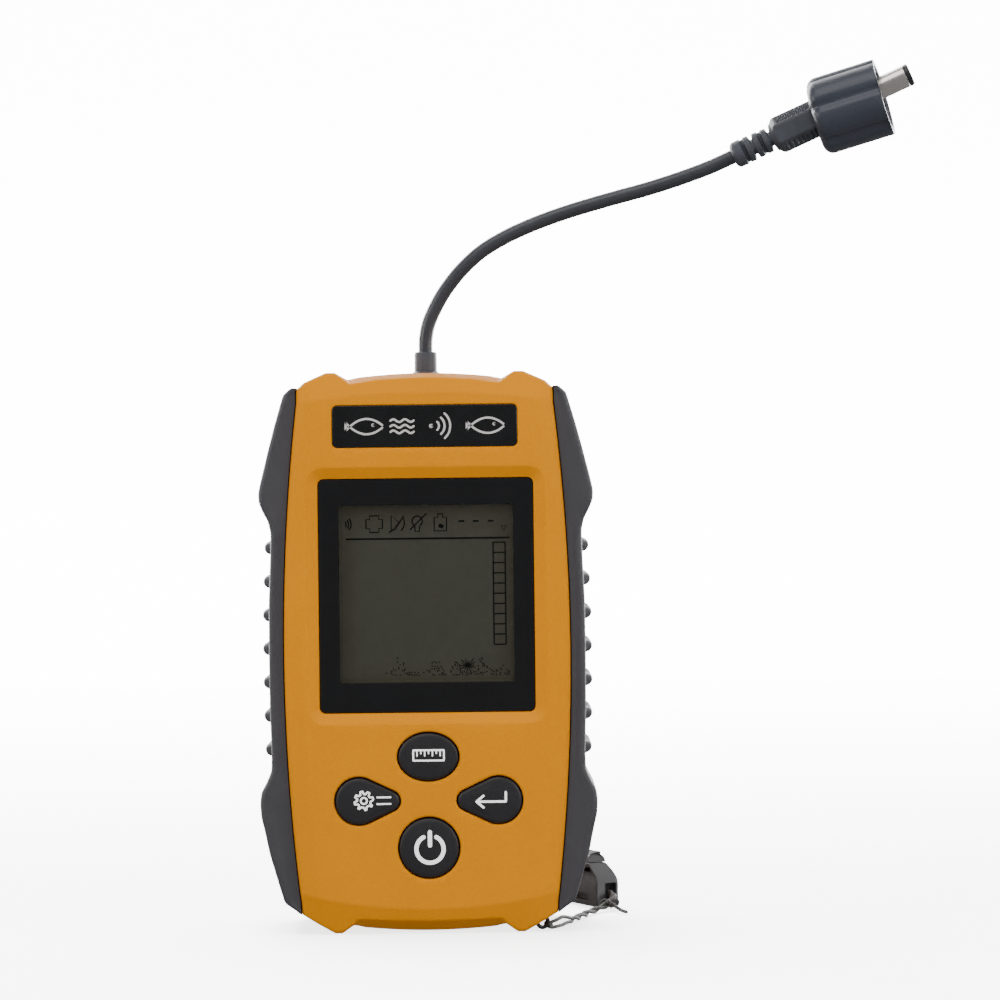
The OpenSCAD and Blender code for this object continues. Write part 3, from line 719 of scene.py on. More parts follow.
def woven(name, colour):
    """Flat nylon webbing: a herringbone of warp yarns 0.8 mm wide over wefts 0.6 mm apart.

    The piece's own map runs across the tape in U and along it in V, in metres."""
    material, tree, output = blank(name)
    place = add_node(tree, "ShaderNodeUVMap", uv_map="along").outputs[0]
    split = add_node(tree, "ShaderNodeSeparateXYZ", {"Vector": place})
    lanes = calc(tree, "DIVIDE", split.outputs["X"], 0.8 * MM)
    lane_wave = calc(tree, "SINE", calc(tree, "MULTIPLY", lanes, 2 * math.pi))
    side = calc(tree, "PINGPONG", lanes, 1.0)
    steps = calc(tree, "ADD", calc(tree, "DIVIDE", split.outputs["Y"], 0.6 * MM), side)
    pick = calc(tree, "SINE", calc(tree, "MULTIPLY", steps, 2 * math.pi))
    weave = calc(tree, "MULTIPLY", calc(tree, "ADD", lane_wave, 1.4), pick)
    height = remap(tree, weave, -2, 2, 0, 1)
    # painted shade in the weave's low points and a painted highlight on its raised yarns, following
    # the bump's height
    base = blend_colour(tree, height, scaled(colour, 0.5), scaled(colour, 1.5))
    bump = bumped(tree, height, 0.8, 0.15)
    surfaced(tree, output, {
        "Base Color": base, "Roughness": 0.7, "Sheen Weight": 0.3, "Normal": bump})
    return material


def circuit_board(name, colour):
    """Glass-epoxy board: green resist over copper tracks 1.2 mm apart that show through lighter."""
    material, tree, output = blank(name)
    place = object_place(tree)
    tracks = add_node(tree, "ShaderNodeTexBrick", {
        "Vector": add_node(tree, "ShaderNodeMapping", {
            "Vector": place, "Rotation": (math.radians(90), 0, 0)}).outputs[0],
        "Scale": 1.0, "Mortar Size": 0.25 * MM, "Brick Width": 6 * MM, "Row Height": 1.2 * MM,
        "Color1": scaled(colour, 1.0), "Color2": scaled(colour, 0.8),
        "Mortar": scaled(colour, 1.7)}).outputs["Color"]
    surfaced(tree, output, {"Base Color": tracks, "Roughness": 0.3})
    return material


def battery_wrap(name, dark, bright):
    """A cell's printed film: a dark body, a silver band 9 mm high and a gloss like foil."""
    material, tree, output = blank(name)
    place = object_place(tree)
    height = add_node(tree, "ShaderNodeSeparateXYZ", {"Vector": place}).outputs["Z"]
    above = calc(tree, "GREATER_THAN", height, 24 * MM)
    below = calc(tree, "LESS_THAN", height, 33 * MM)
    base = blend_colour(tree, calc(tree, "MULTIPLY", above, below), dark, bright)
    stain = noise(tree, place, 2.5)
    base = blend_colour(tree, remap(tree, stain, 0.4, 0.8, 0, 0.3), base, scaled(dark, 0.7))
    surfaced(tree, output, {
        "Base Color": base, "Metallic": 0.7,
        "Roughness": remap(tree, stain, 0.3, 0.7, 0.25, 0.4)})
    return material


def lit_sheet(name):
    """White acrylic sheet lit from behind: a soft gloss over an even glow, stronger up the wall."""
    material, tree, output = blank(name)
    split = add_node(tree, "ShaderNodeSeparateXYZ", {"Vector": object_place(tree)})
    glow = remap(tree, split.outputs["Y"], 0.1, 1.2, 3.0, 13.0)
    surfaced(tree, output, {
        "Base Color": (0.85, 0.85, 0.85, 1), "Roughness": 0.3, "Emission Color": (1, 1, 1, 1),
        "Emission Strength": glow})
    return material


def finish(key):
    """One of the finishes, made all at once when the first is asked for."""
    if not MATERIALS:
        MATERIALS.update(make_materials(bpy.context.scene.finder_colours))
    return MATERIALS[key]


MATERIALS = {}


# ---------------------------------------------------------------- shells

def side_x(z):
    """Half width of the shells at height z: one long arc about the middle of the height."""
    return np.maximum(HALF_W - SIDE_R + np.sqrt(SIDE_R ** 2 - (z - BODY_H / 2) ** 2), 31.0)


def bottom_z(x):
    """Height of the shells' lower edge at a distance x from the middle: an arc, then the foot."""
    xs = np.concatenate([np.arange(0, 17, 1), FOOT[:, 0]])
    zs = np.concatenate([END_GAP + np.arange(0, 17, 1) ** 2 / (2 * END_R), FOOT[:, 1]])
    return np.interp(x, xs, zs)


def top_z(x):
    """Height of the shells' upper edge at a distance x from the middle: an arc, then the ear."""
    xs = np.concatenate([np.arange(0, 17, 1), EAR[:, 0]])
    zs = np.concatenate([BODY_H - END_GAP - np.arange(0, 17, 1) ** 2 / (2 * END_R), EAR[:, 1]])
    return np.interp(x, xs, zs)


def ramp(t, soft):
    """t where it is positive and 0 elsewhere, with the corner rounded over about soft."""
    return 0.5 * (t + np.sqrt(t * t + soft * soft)) - 0.25 * soft * np.exp(-(t / soft) ** 2)


def scoop_top(x):
    """Lower edge of the bevel between the ears: an arc, then the ear's inner slope."""
    return np.maximum(134.2 - 1.5 * (x / 18.1) ** 2, 132.8 + 0.78 * (x - 18.1))


def scoop_bottom(x):
    """Upper edge of the bevel between the feet: an arc that ends in the foot's inner slope."""
    arc = 3.15 + 0.55 * (x / 16.5) ** 2
    slope = 0.97 * (21.2 - x)
    gap = arc - slope
    return 0.5 * (arc + slope) - 0.5 * np.sqrt(gap ** 2 + 0.36)


def edge_fall(x, z, radius):
    """Depth of a rounded outer edge: a quarter circle that starts one radius inside the outline."""
    x = np.abs(x)
    inside = np.minimum(side_x(z) - x, np.minimum(z - bottom_z(x), top_z(x) - z))
    t = radius - np.clip(inside, 0, radius)
    return radius - np.sqrt(np.maximum(radius ** 2 - t ** 2, 0))


def front_depth(x, z, sizes):
    """How far the front face lies behind its flat middle at x and z.

    The sides fall away in a soft curve, the ends lean back past a crease, and a steeper bevel
    runs between each pair of bumpers."""
    ax = np.abs(x)
    slope_w = mm(sizes.side_slope) - 1.2 * np.clip((z - 68) / 60, 0, 1)
    share = np.clip(1 - (side_x(z) - ax) / slope_w, 0, 1)
    side = mm(sizes.side_drop) * share ** 1.4
    lean = 0.27 * (ramp(z - 130.6 + 0.0025 * ax ** 2, 0.7) + ramp(6.0 + 0.004 * ax ** 2 - z, 0.7))
    scoop = 2.1 * ramp(z - scoop_top(ax), 0.25) + 1.2 * ramp(scoop_bottom(ax) - z, 0.25)
    return side + lean + np.minimum(scoop, 4.2) + edge_fall(x, z, mm(sizes.edge_round))


def rear_depth(x, z, sizes):
    """How far the back lies in front of its flat middle: only its broad round edges fall away."""
    return edge_fall(x, z, mm(sizes.back_round))


def shell_grid(radius):
    """Shares across (-1 to 1) and up (0 to 1) at which a shell is worked out.

    They crowd together along the edges, in steps of equal angle round a quarter circle of the
    given radius, and beside the bumpers."""
    width, height = 31.0, 127.0
    quarter = radius * (1 - np.sin(np.radians(np.linspace(0, 90, 9))))
    half = np.concatenate([np.linspace(0, 15.2, 12), np.arange(15.6, 25.0, 0.3),
                           np.linspace(25.3, width - radius - 0.4, 9), width - quarter]) / width
    ends = np.concatenate([quarter[::-1], np.linspace(radius + 0.3, 9.5, 30)]) / height
    rows = np.concatenate([ends, np.linspace(0.085, 0.915, 56), 1 - ends[::-1]])
    return np.concatenate([-half[:0:-1], half]), rows


def shell_solid(depth, face, rim, sizes, radius, toward):
    """A shell as one solid: its face is a grid whose edges follow the outline, and its sides run
    straight to the rim. Across the grid x is a share of the half width, and z blends from the
    lower edge to the upper one."""
    columns, rows = shell_grid(radius)
    u, v = np.meshgrid(columns, rows)
    low, high = FOOT[-1, 1], EAR[-1, 1]
    x = u * side_x(low + v * (high - low))
    z = (1 - v) * bottom_z(np.abs(u) * FOOT[-1, 0]) + v * top_z(np.abs(u) * EAR[-1, 0])
    y = face + toward * depth(x, z, sizes)
    grid = np.stack([x, y, z], axis=-1)
    points, faces = skin(grid, wrap=False)
    index = np.arange(len(points)).reshape(grid.shape[:2])
    loop = np.concatenate([index[0], index[1:, -1], index[-1, -2::-1], index[-2:0:-1, 0]])
    edge = points[loop].copy()
    edge[:, 1] = rim
    back = len(points) + np.arange(len(loop))
    sides = np.stack([loop, back, np.roll(back, -1), np.roll(loop, -1)], axis=1)
    return np.concatenate([points, edge]), faces + [sides, back[None, :]]


def outline_at(inset):
    """The shells' outline drawn in by inset, from the lower edge round to the start."""
    x = np.concatenate([np.arange(0, 16, 2), FOOT[:, 0] - np.array([0, 0, 0, inset])])
    lower = np.stack([x, bottom_z(np.minimum(x, 31)) + inset], axis=1)
    zs = np.arange(10, 128, 6.0)
    sides = np.stack([side_x(zs) - inset, zs], axis=1)
    ear = EAR[::-1, 0] - np.array([inset, inset / 2, 0, 0, 0])
    x = np.concatenate([ear, np.arange(16, -1, -2)])
    upper = np.stack([x, top_z(x) - inset], axis=1)
    half = np.concatenate([lower, sides, upper])
    return np.concatenate([half, half[-2:0:-1] * np.array([-1, 1])])


def lipped(outline_of, top, bottom, lip, out=1.0):
    """A cutter with a rounded mouth: an outline that grows along a quarter circle at the face.

    outline_of(grow) gives the outline grown by a length, top is the face's depth and out is the
    direction out of the face, as a sign along -Y."""
    t = np.radians(np.linspace(0, 90, 5))
    grows = np.concatenate([[0.0, 0.0], lip * (1 - np.cos(t))[1:], [lip]])
    depths = np.concatenate([[bottom, top + out * lip], top + out * lip * (1 - np.sin(t))[1:],
                             [top - out * 1.5]])
    return [outline_of(g) for g in grows], depths


def lens_mouth(low, high, slope):
    """Cutter of the lens's seat: a rounded rectangle that widens to the face in a dished slope."""
    half, centre = (high - low) / 2, (high + low) / 2
    ease = np.array([0.0, 0.25, 0.5, 0.75, 0.92, 1.0, 1.08])
    fall = np.array([1.0, 0.76, 0.5, 0.24, 0.08, 0.015, -0.01])
    grows = np.concatenate([[0.1, 0.1], 0.1 + slope * ease, [0.1 + slope * 1.08]])
    depths = np.concatenate([[high[1] + 0.05], [low[1]], FACE_Y + (low[1] - FACE_Y) * fall,
                             [FACE_Y - 1.5]])
    outlines = [round_rect(half[0] + g, half[2] + g, 1.4 + g) for g in grows]
    return stack(outlines, depths, centre[[0, 2]])


def key_shapes():
    """Name, outline function and middle of each key, from its node's box. The node's flange
    stands 1.2 mm past the key all round."""
    flange = 1.2
    shapes = {}
    for name in ("units_key", "power_key"):
        low, high = node_box(name)
        half = (high - low) / 2 - flange
        shapes[name] = (lambda g, h=half: oval(h[0] + g, h[2] + g), (high + low)[[0, 2]] / 2)
    for name, sign in (("enter_key", 1), ("setup_key", -1)):
        z = (node_box(name)[0][2] + node_box(name)[1][2]) / 2
        shapes[name] = (lambda g, s=sign: egg(16.9, 5.6, 9.4, 2.4, g) * np.array([s, 1]),
                        np.array([0.0, z]))
    return shapes


def on_hinge(profile, x, count):
    """A profile turned about the door's hinge line, starting at x."""
    return turned(profile, np.array([x, HINGE[1], HINGE[2]]), RIGHT, UP, count)


class FINDER_OT_front_shell(bpy.types.Operator):
    """Front shell with its lens seat, plate seat and key wells, and the hollow behind them"""
    bl_idname = "finder.front_shell"
    bl_label = "Front shell"

    def execute(self, context):
        sizes = context.scene.finder_sizes
        lip = mm(sizes.lip_round)
        solid = shell_solid(front_depth, FACE_Y, SEAM_FRONT, sizes, mm(sizes.edge_round), 1)
        low, high = node_box("display_lens")
        middle = (low + high) / 2
        cutters = [lens_mouth(low, high, mm(sizes.lens_slope))]
        window = round_rect(23, 25.25, 0.6)
        cutters.append(stack([window, window], [FACE_Y + 1, FACE_Y + FACE_T + 1], middle[[0, 2]]))
        low, high = node_box("name_plate")
        half, centre = (high - low) / 2, (high + low) / 2
        plate = lipped(lambda g: round_rect(half[0] + 0.08 + g, half[2] + 0.08 + g, 1.3 + g),
                       FACE_Y, high[1] + 0.05, lip)
        cutters.append(stack(*plate, centre[[0, 2]]))
        for outline_of, centre in key_shapes().values():
            well = lipped(lambda g, o=outline_of: o(0.32 + g), FACE_Y, FACE_Y + FACE_T + 1,
                          1.4 * lip)
            cutters.append(stack(*well, centre))
        hollow = outline_at(WALL)
        cutters.append(stack([hollow, hollow], [FACE_Y + FACE_T, SEAM_FRONT + 1]))
        mesh = carve([solid], cutters)
        add_piece("front_shell_cover", mesh, finish("abs"), "case", ["front_shell"],
                  28)
        return {"FINISHED"}


class FINDER_OT_rear_shell(bpy.types.Operator):
    """Rear shell with the door's seat, hinge lugs, screw wells, sound slots and gland hole"""
    bl_idname = "finder.rear_shell"
    bl_label = "Rear shell"

    def execute(self, context):
        sizes = context.scene.finder_sizes
        radius = mm(sizes.back_round)
        solid = shell_solid(rear_depth, BACK_Y, SEAM_BACK, sizes, radius, -1)
        low, high = node_box("battery_door")
        gap, lip = 0.3, 0.4
        half = np.array([high[0] + gap, (HINGE[2] - low[2] + gap) / 2])
        centre = (0, (HINGE[2] + low[2] - gap) / 2)
        seat = lipped(lambda g: round_rect(half[0] + g, half[1] + g, 1.2 + g), BACK_Y,
                      BACK_Y - 2.4, lip, -1.0)
        cutters = [stack(*seat, centre)]
        cutters.append(block([-23.6, BACK_Y - FACE_T - 1, 14.0], [23.6, BACK_Y - 1, 65.2]))
        trough = BACK_Y - HINGE[1] + gap
        for x0, x1 in ((-high[0] - gap, -17.7), (-14.3, 14.3), (17.7, high[0] + gap)):
            profile = [[0, 0.01], [0, trough], [x1 - x0, trough], [x1 - x0, 0.01]]
            cutters.append(skin(on_hinge(profile, x0, 32)))
        hollow = outline_at(WALL)
        cutters.append(stack([hollow, hollow], [BACK_Y - FACE_T, SEAM_BACK - 1]))
        for place in CASE_SCREWS:
            well = lipped(lambda g: oval(2.6 + g, 2.6 + g, 32), BACK_Y, 11.9, lip, -1.0)
            cutters.append(stack(*well, place))
        for k in range(-2, 3):
            slot = round_rect(0.45, 3.2 - 0.45 * abs(k), 0.44, 4)
            cutters.append(stack([slot, slot], [BACK_Y - 1.4, BACK_Y + 1], (18 + 2.2 * k, 98)))
        gland = [[-8, 0.01], [-8, 2.5], [4, 2.5], [4, 0.01]]
        cutters.append(skin(turned(gland, np.array([0, 3.0, BODY_H]), UP, TO_CAMERA, 32)))
        mesh = carve([solid], cutters)
        add_piece("rear_shell_cover", mesh, finish("abs"), "case", ["rear_shell"], 28)
        lugs = []
        for x0 in (-17.6, 14.4):
            tube = [[0, 0.8], [0, 1.5], [0.15, 1.6], [3.05, 1.6], [3.2, 1.5], [3.2, 0.8]]
            lugs.append(ring_skin(on_hinge(tube, x0, 32)))
            lugs.append(block([x0, HINGE[1] - 1.2, HINGE[2] + 0.9],
                              [x0 + 3.2, BACK_Y - 0.3, HINGE[2] + 3]))
        add_piece("hinge_lugs", lugs, finish("abs"), "case")
        bosses = []
        for x, z in CASE_SCREWS:
            ring = [[0, 1.4], [0, 3], [15.5, 3], [15.5, 1.4]]
            start = np.array([x, SEAM_BACK + 0.1, z])
            bosses.append(ring_skin(turned(ring, start, TO_BACK, UP, 24)))
        add_piece("screw_bosses", bosses, finish("abs"), "case")
        return {"FINISHED"}


class FINDER_OT_grips(bpy.types.Operator):
    """The two rubber side grips with their palm swells and finger ribs"""
    bl_idname = "finder.grips"
    bl_label = "Side grips"

    def execute(self, context):
        sizes = context.scene.finder_sizes
        low, high = node_box("right_grip")
        grip = grip_skin(low[1], high[1], mm(sizes.grip_round), mm(sizes.rib_radius))
        add_piece("right_grip_rubber", [grip], finish("rubber"), "case",
                  ["right_grip"], 40)
        add_piece("left_grip_rubber", [mirrored(grip)], finish("rubber"), "case",
                  ["left_grip"], 40)
        return {"FINISHED"}


def grip_skin(front, back, round_, rib):
    """A grip as rings stacked upwards. Each ring runs from the shell's side, across the front,
    round the outer edge and back; the outer side follows the palm swells, and each rib adds the
    height of a bar with a half round section and half round ends."""
    theta = np.radians(np.linspace(-90, 90, 15))
    rib_rows = np.concatenate([z + rib * np.sin(theta) for z in RIB_Z])
    plain = np.arange(GRIP_SIDE[0, 1] + 0.05, GRIP_SIDE[-1, 1] - 0.01, 0.8)
    plain = plain[np.abs(plain[:, None] - RIB_Z).min(axis=1) > rib + 0.2]
    ends = np.array([GRIP_SIDE[0, 1], GRIP_SIDE[-1, 1] - 0.02])
    rows = np.unique(np.concatenate([ends, plain, rib_rows]))
    # the swells are rounded off, and the corners near the ends stay crisp
    fine = np.linspace(rows[0], rows[-1], 1200)
    shape = np.interp(fine, GRIP_SIDE[:, 1], GRIP_SIDE[:, 0])
    spread = 9
    kernel = np.hanning(2 * spread + 1)
    padded = np.pad(shape, spread, mode="edge")
    rounded = np.convolve(padded, kernel / kernel.sum(), mode="valid")
    calm = np.clip((fine - 8) / 4, 0, 1) * np.clip((127 - fine) / 4, 0, 1)
    outer = np.interp(rows, fine, shape + (rounded - shape) * calm)
    inner = side_x(rows) + 0.04
    outer = np.maximum(outer, inner + 0.06)
    radius = np.minimum(round_, (outer - inner) * 0.7)
    turn = np.radians(np.linspace(0, 90, 8))[None, :]
    r, o = radius[:, None], outer[:, None]
    front_x, front_y = o - r + r * np.sin(turn), front + r - r * np.cos(turn)
    back_x, back_y = front_x[:, ::-1], (back - r + r * np.cos(turn))[:, ::-1]
    middle = np.linspace(0, 1, 22)[None, 1:-1]
    y0, y1 = front_y[:, -1:], back_y[:, :1]
    side_y = y0 + (y1 - y0) * (0.5 - 0.5 * np.cos(middle * math.pi))
    side_x_ = np.repeat(o, side_y.shape[1], axis=1)
    # a groove 0.3 mm wide parts the rubber's face from the shell
    lip = inner[:, None] + np.minimum(0.3, 0.3 * (front_x[:, :1] - inner[:, None]))
    face = np.linspace(0, 1, 5)[None, :-1]
    face_x = lip + (front_x[:, :1] - lip) * face
    # a shallow dish in the front face keeps a fine raised edge along the outer side
    dish = 0.22 * np.sin(face * math.pi) * np.clip(outer - inner - 2, 0, 1)[:, None]
    face_y = np.full_like(face_x, front) + dish
    face_y[:, 0] += 0.15
    face_x = np.concatenate([inner[:, None], face_x], axis=1)
    face_y = np.concatenate([np.full((len(rows), 1), front + 1.5), face_y], axis=1)
    rear_x = inner[:, None] + (back_x[:, -1:] - inner[:, None]) * np.array([[0.5, 0.0]])
    rear_y = np.full_like(rear_x, back)
    x = np.concatenate([face_x, front_x, side_x_, back_x, rear_x], axis=1)
    y = np.concatenate([face_y, front_y, side_y, back_y, rear_y], axis=1)
    z = np.repeat(rows[:, None], x.shape[1], axis=1)
    past = np.maximum(0, np.maximum(front + 2.8 + rib - y, y - (back - 2.6 - rib)))
    near = np.abs(z[..., None] - RIB_Z).min(axis=-1)
    swell = np.sqrt(np.maximum(rib ** 2 - near ** 2 - past ** 2, 0))
    is_side = np.zeros(x.shape[1], bool)
    is_side[face_x.shape[1]:-2] = True
    x = x + swell * is_side
    return skin(np.stack([x, y, z], axis=-1))


# ---------------------------------------------------------------- plate, lens, screen and keys

def flat(depth):
    """A flat surface at the given depth, for printed lines."""
    return lambda x, z: np.full(np.shape(x), float(depth))


def arc_line(centre, radius, start, end, steps=15):
    """Points of an arc in X and Z between two angles, in degrees."""
    t = np.radians(np.linspace(start, end, steps))
    return np.stack([centre[0] + radius * np.cos(t), centre[1] + radius * np.sin(t)], axis=1)


def fish_lines(x, z, size):
    """A fish from two arcs that cross at its tail, an eye and the end of its tail."""
    t = np.linspace(-1, 1, 25)
    upper = np.stack([x + size * t, z + 0.42 * size * (1 - (t - 0.15) ** 2 * 1.15)], axis=1)
    lower = np.stack([x + size * t, z - 0.42 * size * (1 - (t - 0.15) ** 2 * 1.15)], axis=1)
    eye = arc_line((x + 0.5 * size, z + 0.08 * size), 0.04 * size, 0, 360, 9)
    tail = np.array([[x - size, z + 0.22 * size], [x - size, z - 0.22 * size]])
    return [upper, lower, eye, tail]


def wave_line(x0, x1, z, height, turns):
    """Points of a sine wave at height z, with whole turns between x0 and x1."""
    x = np.linspace(x0, x1, 12 * turns + 1)
    return np.stack([x, z + height * np.sin((x - x0) / (x1 - x0) * turns * 2 * math.pi)], axis=1)


class FINDER_OT_name_plate(bpy.types.Operator):
    """Black plate above the screen, printed with a fish, waves and echo arcs"""
    bl_idname = "finder.name_plate"
    bl_label = "Name plate"

    def execute(self, context):
        low, high = node_box("name_plate")
        half, centre = (high - low) / 2, (high + low) / 2
        inner = round_rect(half[0] - 0.15, half[2] - 0.15, 1.05)
        outer = round_rect(half[0], half[2], 1.2)
        plate = stack([inner, outer, outer], [low[1], low[1] + 0.12, high[1]], centre[[0, 2]])
        add_piece("gloss_name_plate", [plate], finish("plate"), "case",
                  ["name_plate"])
        z, ink = centre[2], 0.5
        lines = []
        for x, size in ((-14.6, 4.4), (14.6, 4.4)):
            lines += fish_lines(x, z, size)
        for k in (-1, 0, 1):
            lines.append(wave_line(-8.2, -2.6, z + 1.35 * k, 0.34, 2))
        for k in range(3):
            lines.append(arc_line((2.2, z), 1.3 + 1.35 * k, -48, 48, 13))
        lines.append(arc_line((1.6, z), 0.28, 0, 360, 9))
        surface = flat(low[1])
        parts = [line_on(p, ink, surface, mm(context.scene.finder_sizes.print_t)) for p in lines]
        add_piece("name_plate_print", parts, finish("plate_print"), "case")
        return {"FINISHED"}


class FINDER_OT_lens(bpy.types.Operator):
    """Lens with its black border and the clear window in the middle of it"""
    bl_idname = "finder.lens"
    bl_label = "Lens"

    def execute(self, context):
        low, high = node_box("display_lens")
        half, centre = (high - low) / 2, (high + low) / 2
        drop = SCREEN_Z - centre[2]

        def outer(g):
            return round_rect(half[0] - g, half[2] - g, 1.4 - g)

        inner = round_rect(SCREEN_HALF[0], SCREEN_HALF[1], 0.35) + np.array([0, drop])
        outlines = [outer(0), outer(0), outer(0.25), inner, inner]
        depths = [high[1], low[1] + 0.2, low[1], low[1], high[1]]
        rings = [laid(o, y, centre[[0, 2]]) for o, y in zip(outlines, depths)]
        add_piece("lens_border", [ring_skin(np.stack(rings))], finish("border"), "case",
                  ["display_lens"], 20)
        pane = round_rect(SCREEN_HALF[0] - 0.02, SCREEN_HALF[1] - 0.02, 0.33)
        window = stack([pane, pane], [low[1] + 0.01, high[1] - 0.3], (0, SCREEN_Z))
        add_piece("lens_window", [window], finish("clear"), "case")
        return {"FINISHED"}


def screen_lines():
    """Lines of the screen's symbols, each with its width and whether it is closed: echo arcs,
    cross, speaker, lamp, battery, dashes, a small arrow and a ladder."""
    thin, thick = 0.3, 0.42
    z = 98.9
    lines = []

    def draw(points, width=thin, closed=False):
        lines.append((np.array(points), width, closed))

    for k in range(3):
        draw(arc_line((-20.2, z), 0.9 + 0.6 * k, -42, 42, 9))
    arm, reach = 1.1, 2.0
    quarter = np.array([[reach, arm], [arm, arm], [arm, reach]])
    left_arm, right_arm = (quarter * [-1, 1])[::-1], (quarter * [1, -1])[::-1]
    cross = np.concatenate([quarter, left_arm, -quarter, right_arm])
    draw(cross + [-12.5, z], thin, True)
    # speaker with its sound arc, struck through
    draw([[-8.4, z - 1.6], [-8.4, z + 2.0], [-6.4, z + 0.3]], thin, True)
    draw(arc_line((-7.6, z + 0.2), 2.4, -50, 35, 9))
    draw([[-9.0, z - 2.1], [-7.4, z - 1.2], [-5.4, z + 1.9]])
    # lamp, struck through
    draw(arc_line((-2.1, z + 0.6), 1.25, -60, 240, 15))
    draw([[-2.7, z - 0.6], [-2.6, z - 1.9], [-1.6, z - 1.9], [-1.5, z - 0.6]])
    draw([[-3.9, z - 1.5], [0.2, z + 2.5]])
    # battery with its charge
    draw([[2.0, z - 1.8], [2.0, z + 1.5], [2.9, z + 1.5], [2.9, z + 2.3], [4.1, z + 2.3],
          [4.1, z + 1.5], [5.0, z + 1.5], [5.0, z - 1.8]], thin, True)
    draw([[3.1, z - 0.4], [4.2, z - 0.9]], 0.9)
    for x in (8.6, 12.1, 15.7):
        draw([[x - 0.7, 99.4], [x + 0.7, 99.4]], thick)
    draw([[18.2, 98.2], [19.4, 98.2], [18.8, 96.9]], 0.2, True)
    draw([[-19.4, 95.3], [20.2, 95.3]], thick)
    # ladder of ten steps
    left, right, top, step = 16.2, 19.1, 94.2, 2.47
    for x in (left, right):
        draw([[x, top], [x, top - 10 * step]])
    for k in range(11):
        draw([[left, top - k * step], [right, top - k * step]])
    return lines


def sea_floor(dots_seed=7):
    """Middles of the dots that draw the sea floor: a row of humps filled more thinly upwards."""
    random = np.random.default_rng(dots_seed)
    x = np.arange(-9.8, 20.4, 0.55)
    z = np.arange(62.3, 66.6, 0.5)
    gx, gz = np.meshgrid(x, z)
    humps = sum(h * np.exp(-((gx - at) / w) ** 2)
                for at, h, w in ((-7.0, 3.8, 1.6), (2.0, 3.4, 1.5), (6.9, 3.4, 1.2),
                                 (13.4, 3.6, 1.4), (18.2, 1.5, 1.6)))
    top = 62.9 + humps
    keep = (gz < top) & (random.random(gx.shape) < 0.55)
    spots = np.stack([gx[keep], gz[keep]], axis=1)
    return spots + random.uniform(-0.16, 0.16, spots.shape)


class FINDER_OT_screen(bpy.types.Operator):
    """Dark segments on the liquid crystal cell"""
    bl_idname = "finder.screen"
    bl_label = "Screen"

    def execute(self, context):
        glass = flat(node_box("lcd_panel")[0][1])
        lift = mm(context.scene.finder_sizes.print_t)
        parts = [line_on(p, w, glass, lift, closed, False) for p, w, closed in screen_lines()]
        square = np.array([[1, 1], [-1, 1], [-1, -1], [1, -1]]) * 0.15
        parts += [patch_on(spot + square, glass, lift) for spot in sea_floor()]
        burst = np.array([9.8, 64.5])
        for k in range(14):
            turn = math.radians(k * 360 / 14 + 5)
            away = np.array([math.cos(turn), 0.75 * math.sin(turn)])
            ray = np.stack([burst + 0.2 * away, burst + (1.5 + 0.5 * (k % 3)) * away])
            parts.append(line_on(ray, 0.2, glass, lift, False, False))
        parts.append(patch_on(oval(0.75, 0.6, 16) + burst, glass, lift * 1.5))
        add_piece("screen_segments", parts, finish("segment"), "case")
        return {"FINISHED"}


def key_symbols():
    """Printed lines on each key: a ruler, a cog, a return arrow and the power sign."""
    units_z = key_shapes()["units_key"][1][1] + 0.4
    setup_z = key_shapes()["setup_key"][1][1] + 0.2
    power = key_shapes()["power_key"][1] + np.array([0.2, -0.2])
    ruler = np.array([[-3.7, -1.25], [3.7, -1.25], [3.7, 1.25], [-3.7, 1.25]]) + [0.1, units_z]
    lines = {"units_key": [(ruler, 0.42, True)]}
    for k in range(-3, 4):
        deep = 1.3 if k % 2 else 0.75
        tick = np.array([[0.93 * k, 1.2], [0.93 * k, 1.2 - deep]]) + [0.1, units_z]
        lines["units_key"].append((tick, 0.34, False))
    t = np.radians(np.arange(0, 360, 7.5))
    cog = 1.95 + 0.34 * np.sign(np.sin(8 * t))
    centre = np.array([-15.6, setup_z])
    rim = centre + np.stack([cog * np.cos(t), cog * np.sin(t)], axis=1)
    hub = centre + oval(0.75, 0.75, 20)
    lines["setup_key"] = [(rim, 0.42, True), (hub, 0.42, True)]
    slider = [np.array([[-12.4, dz], [-9.2, dz]]) + [0, setup_z] for dz in (-0.8, 0.8)]
    lines["setup_key"] += [(slider[0], 0.4, False), (slider[1], 0.4, False)]
    arrow = np.array([[18.6, 1.7], [18.6, -0.5], [11.6, -0.5]]) + [0, setup_z]
    head = np.array([[13.2, 0.9], [11.5, -0.5], [13.2, -1.9]]) + [0, setup_z]
    lines["enter_key"] = [(arrow, 0.55, False), (head, 0.55, False)]
    ring = arc_line(power, 3.28, 118, 422, 57)
    bar = np.array([power + [0, 0.9], power + [0, 4.1]])
    lines["power_key"] = [(ring, 1.0, False), (bar, 1.0, False)]
    return lines


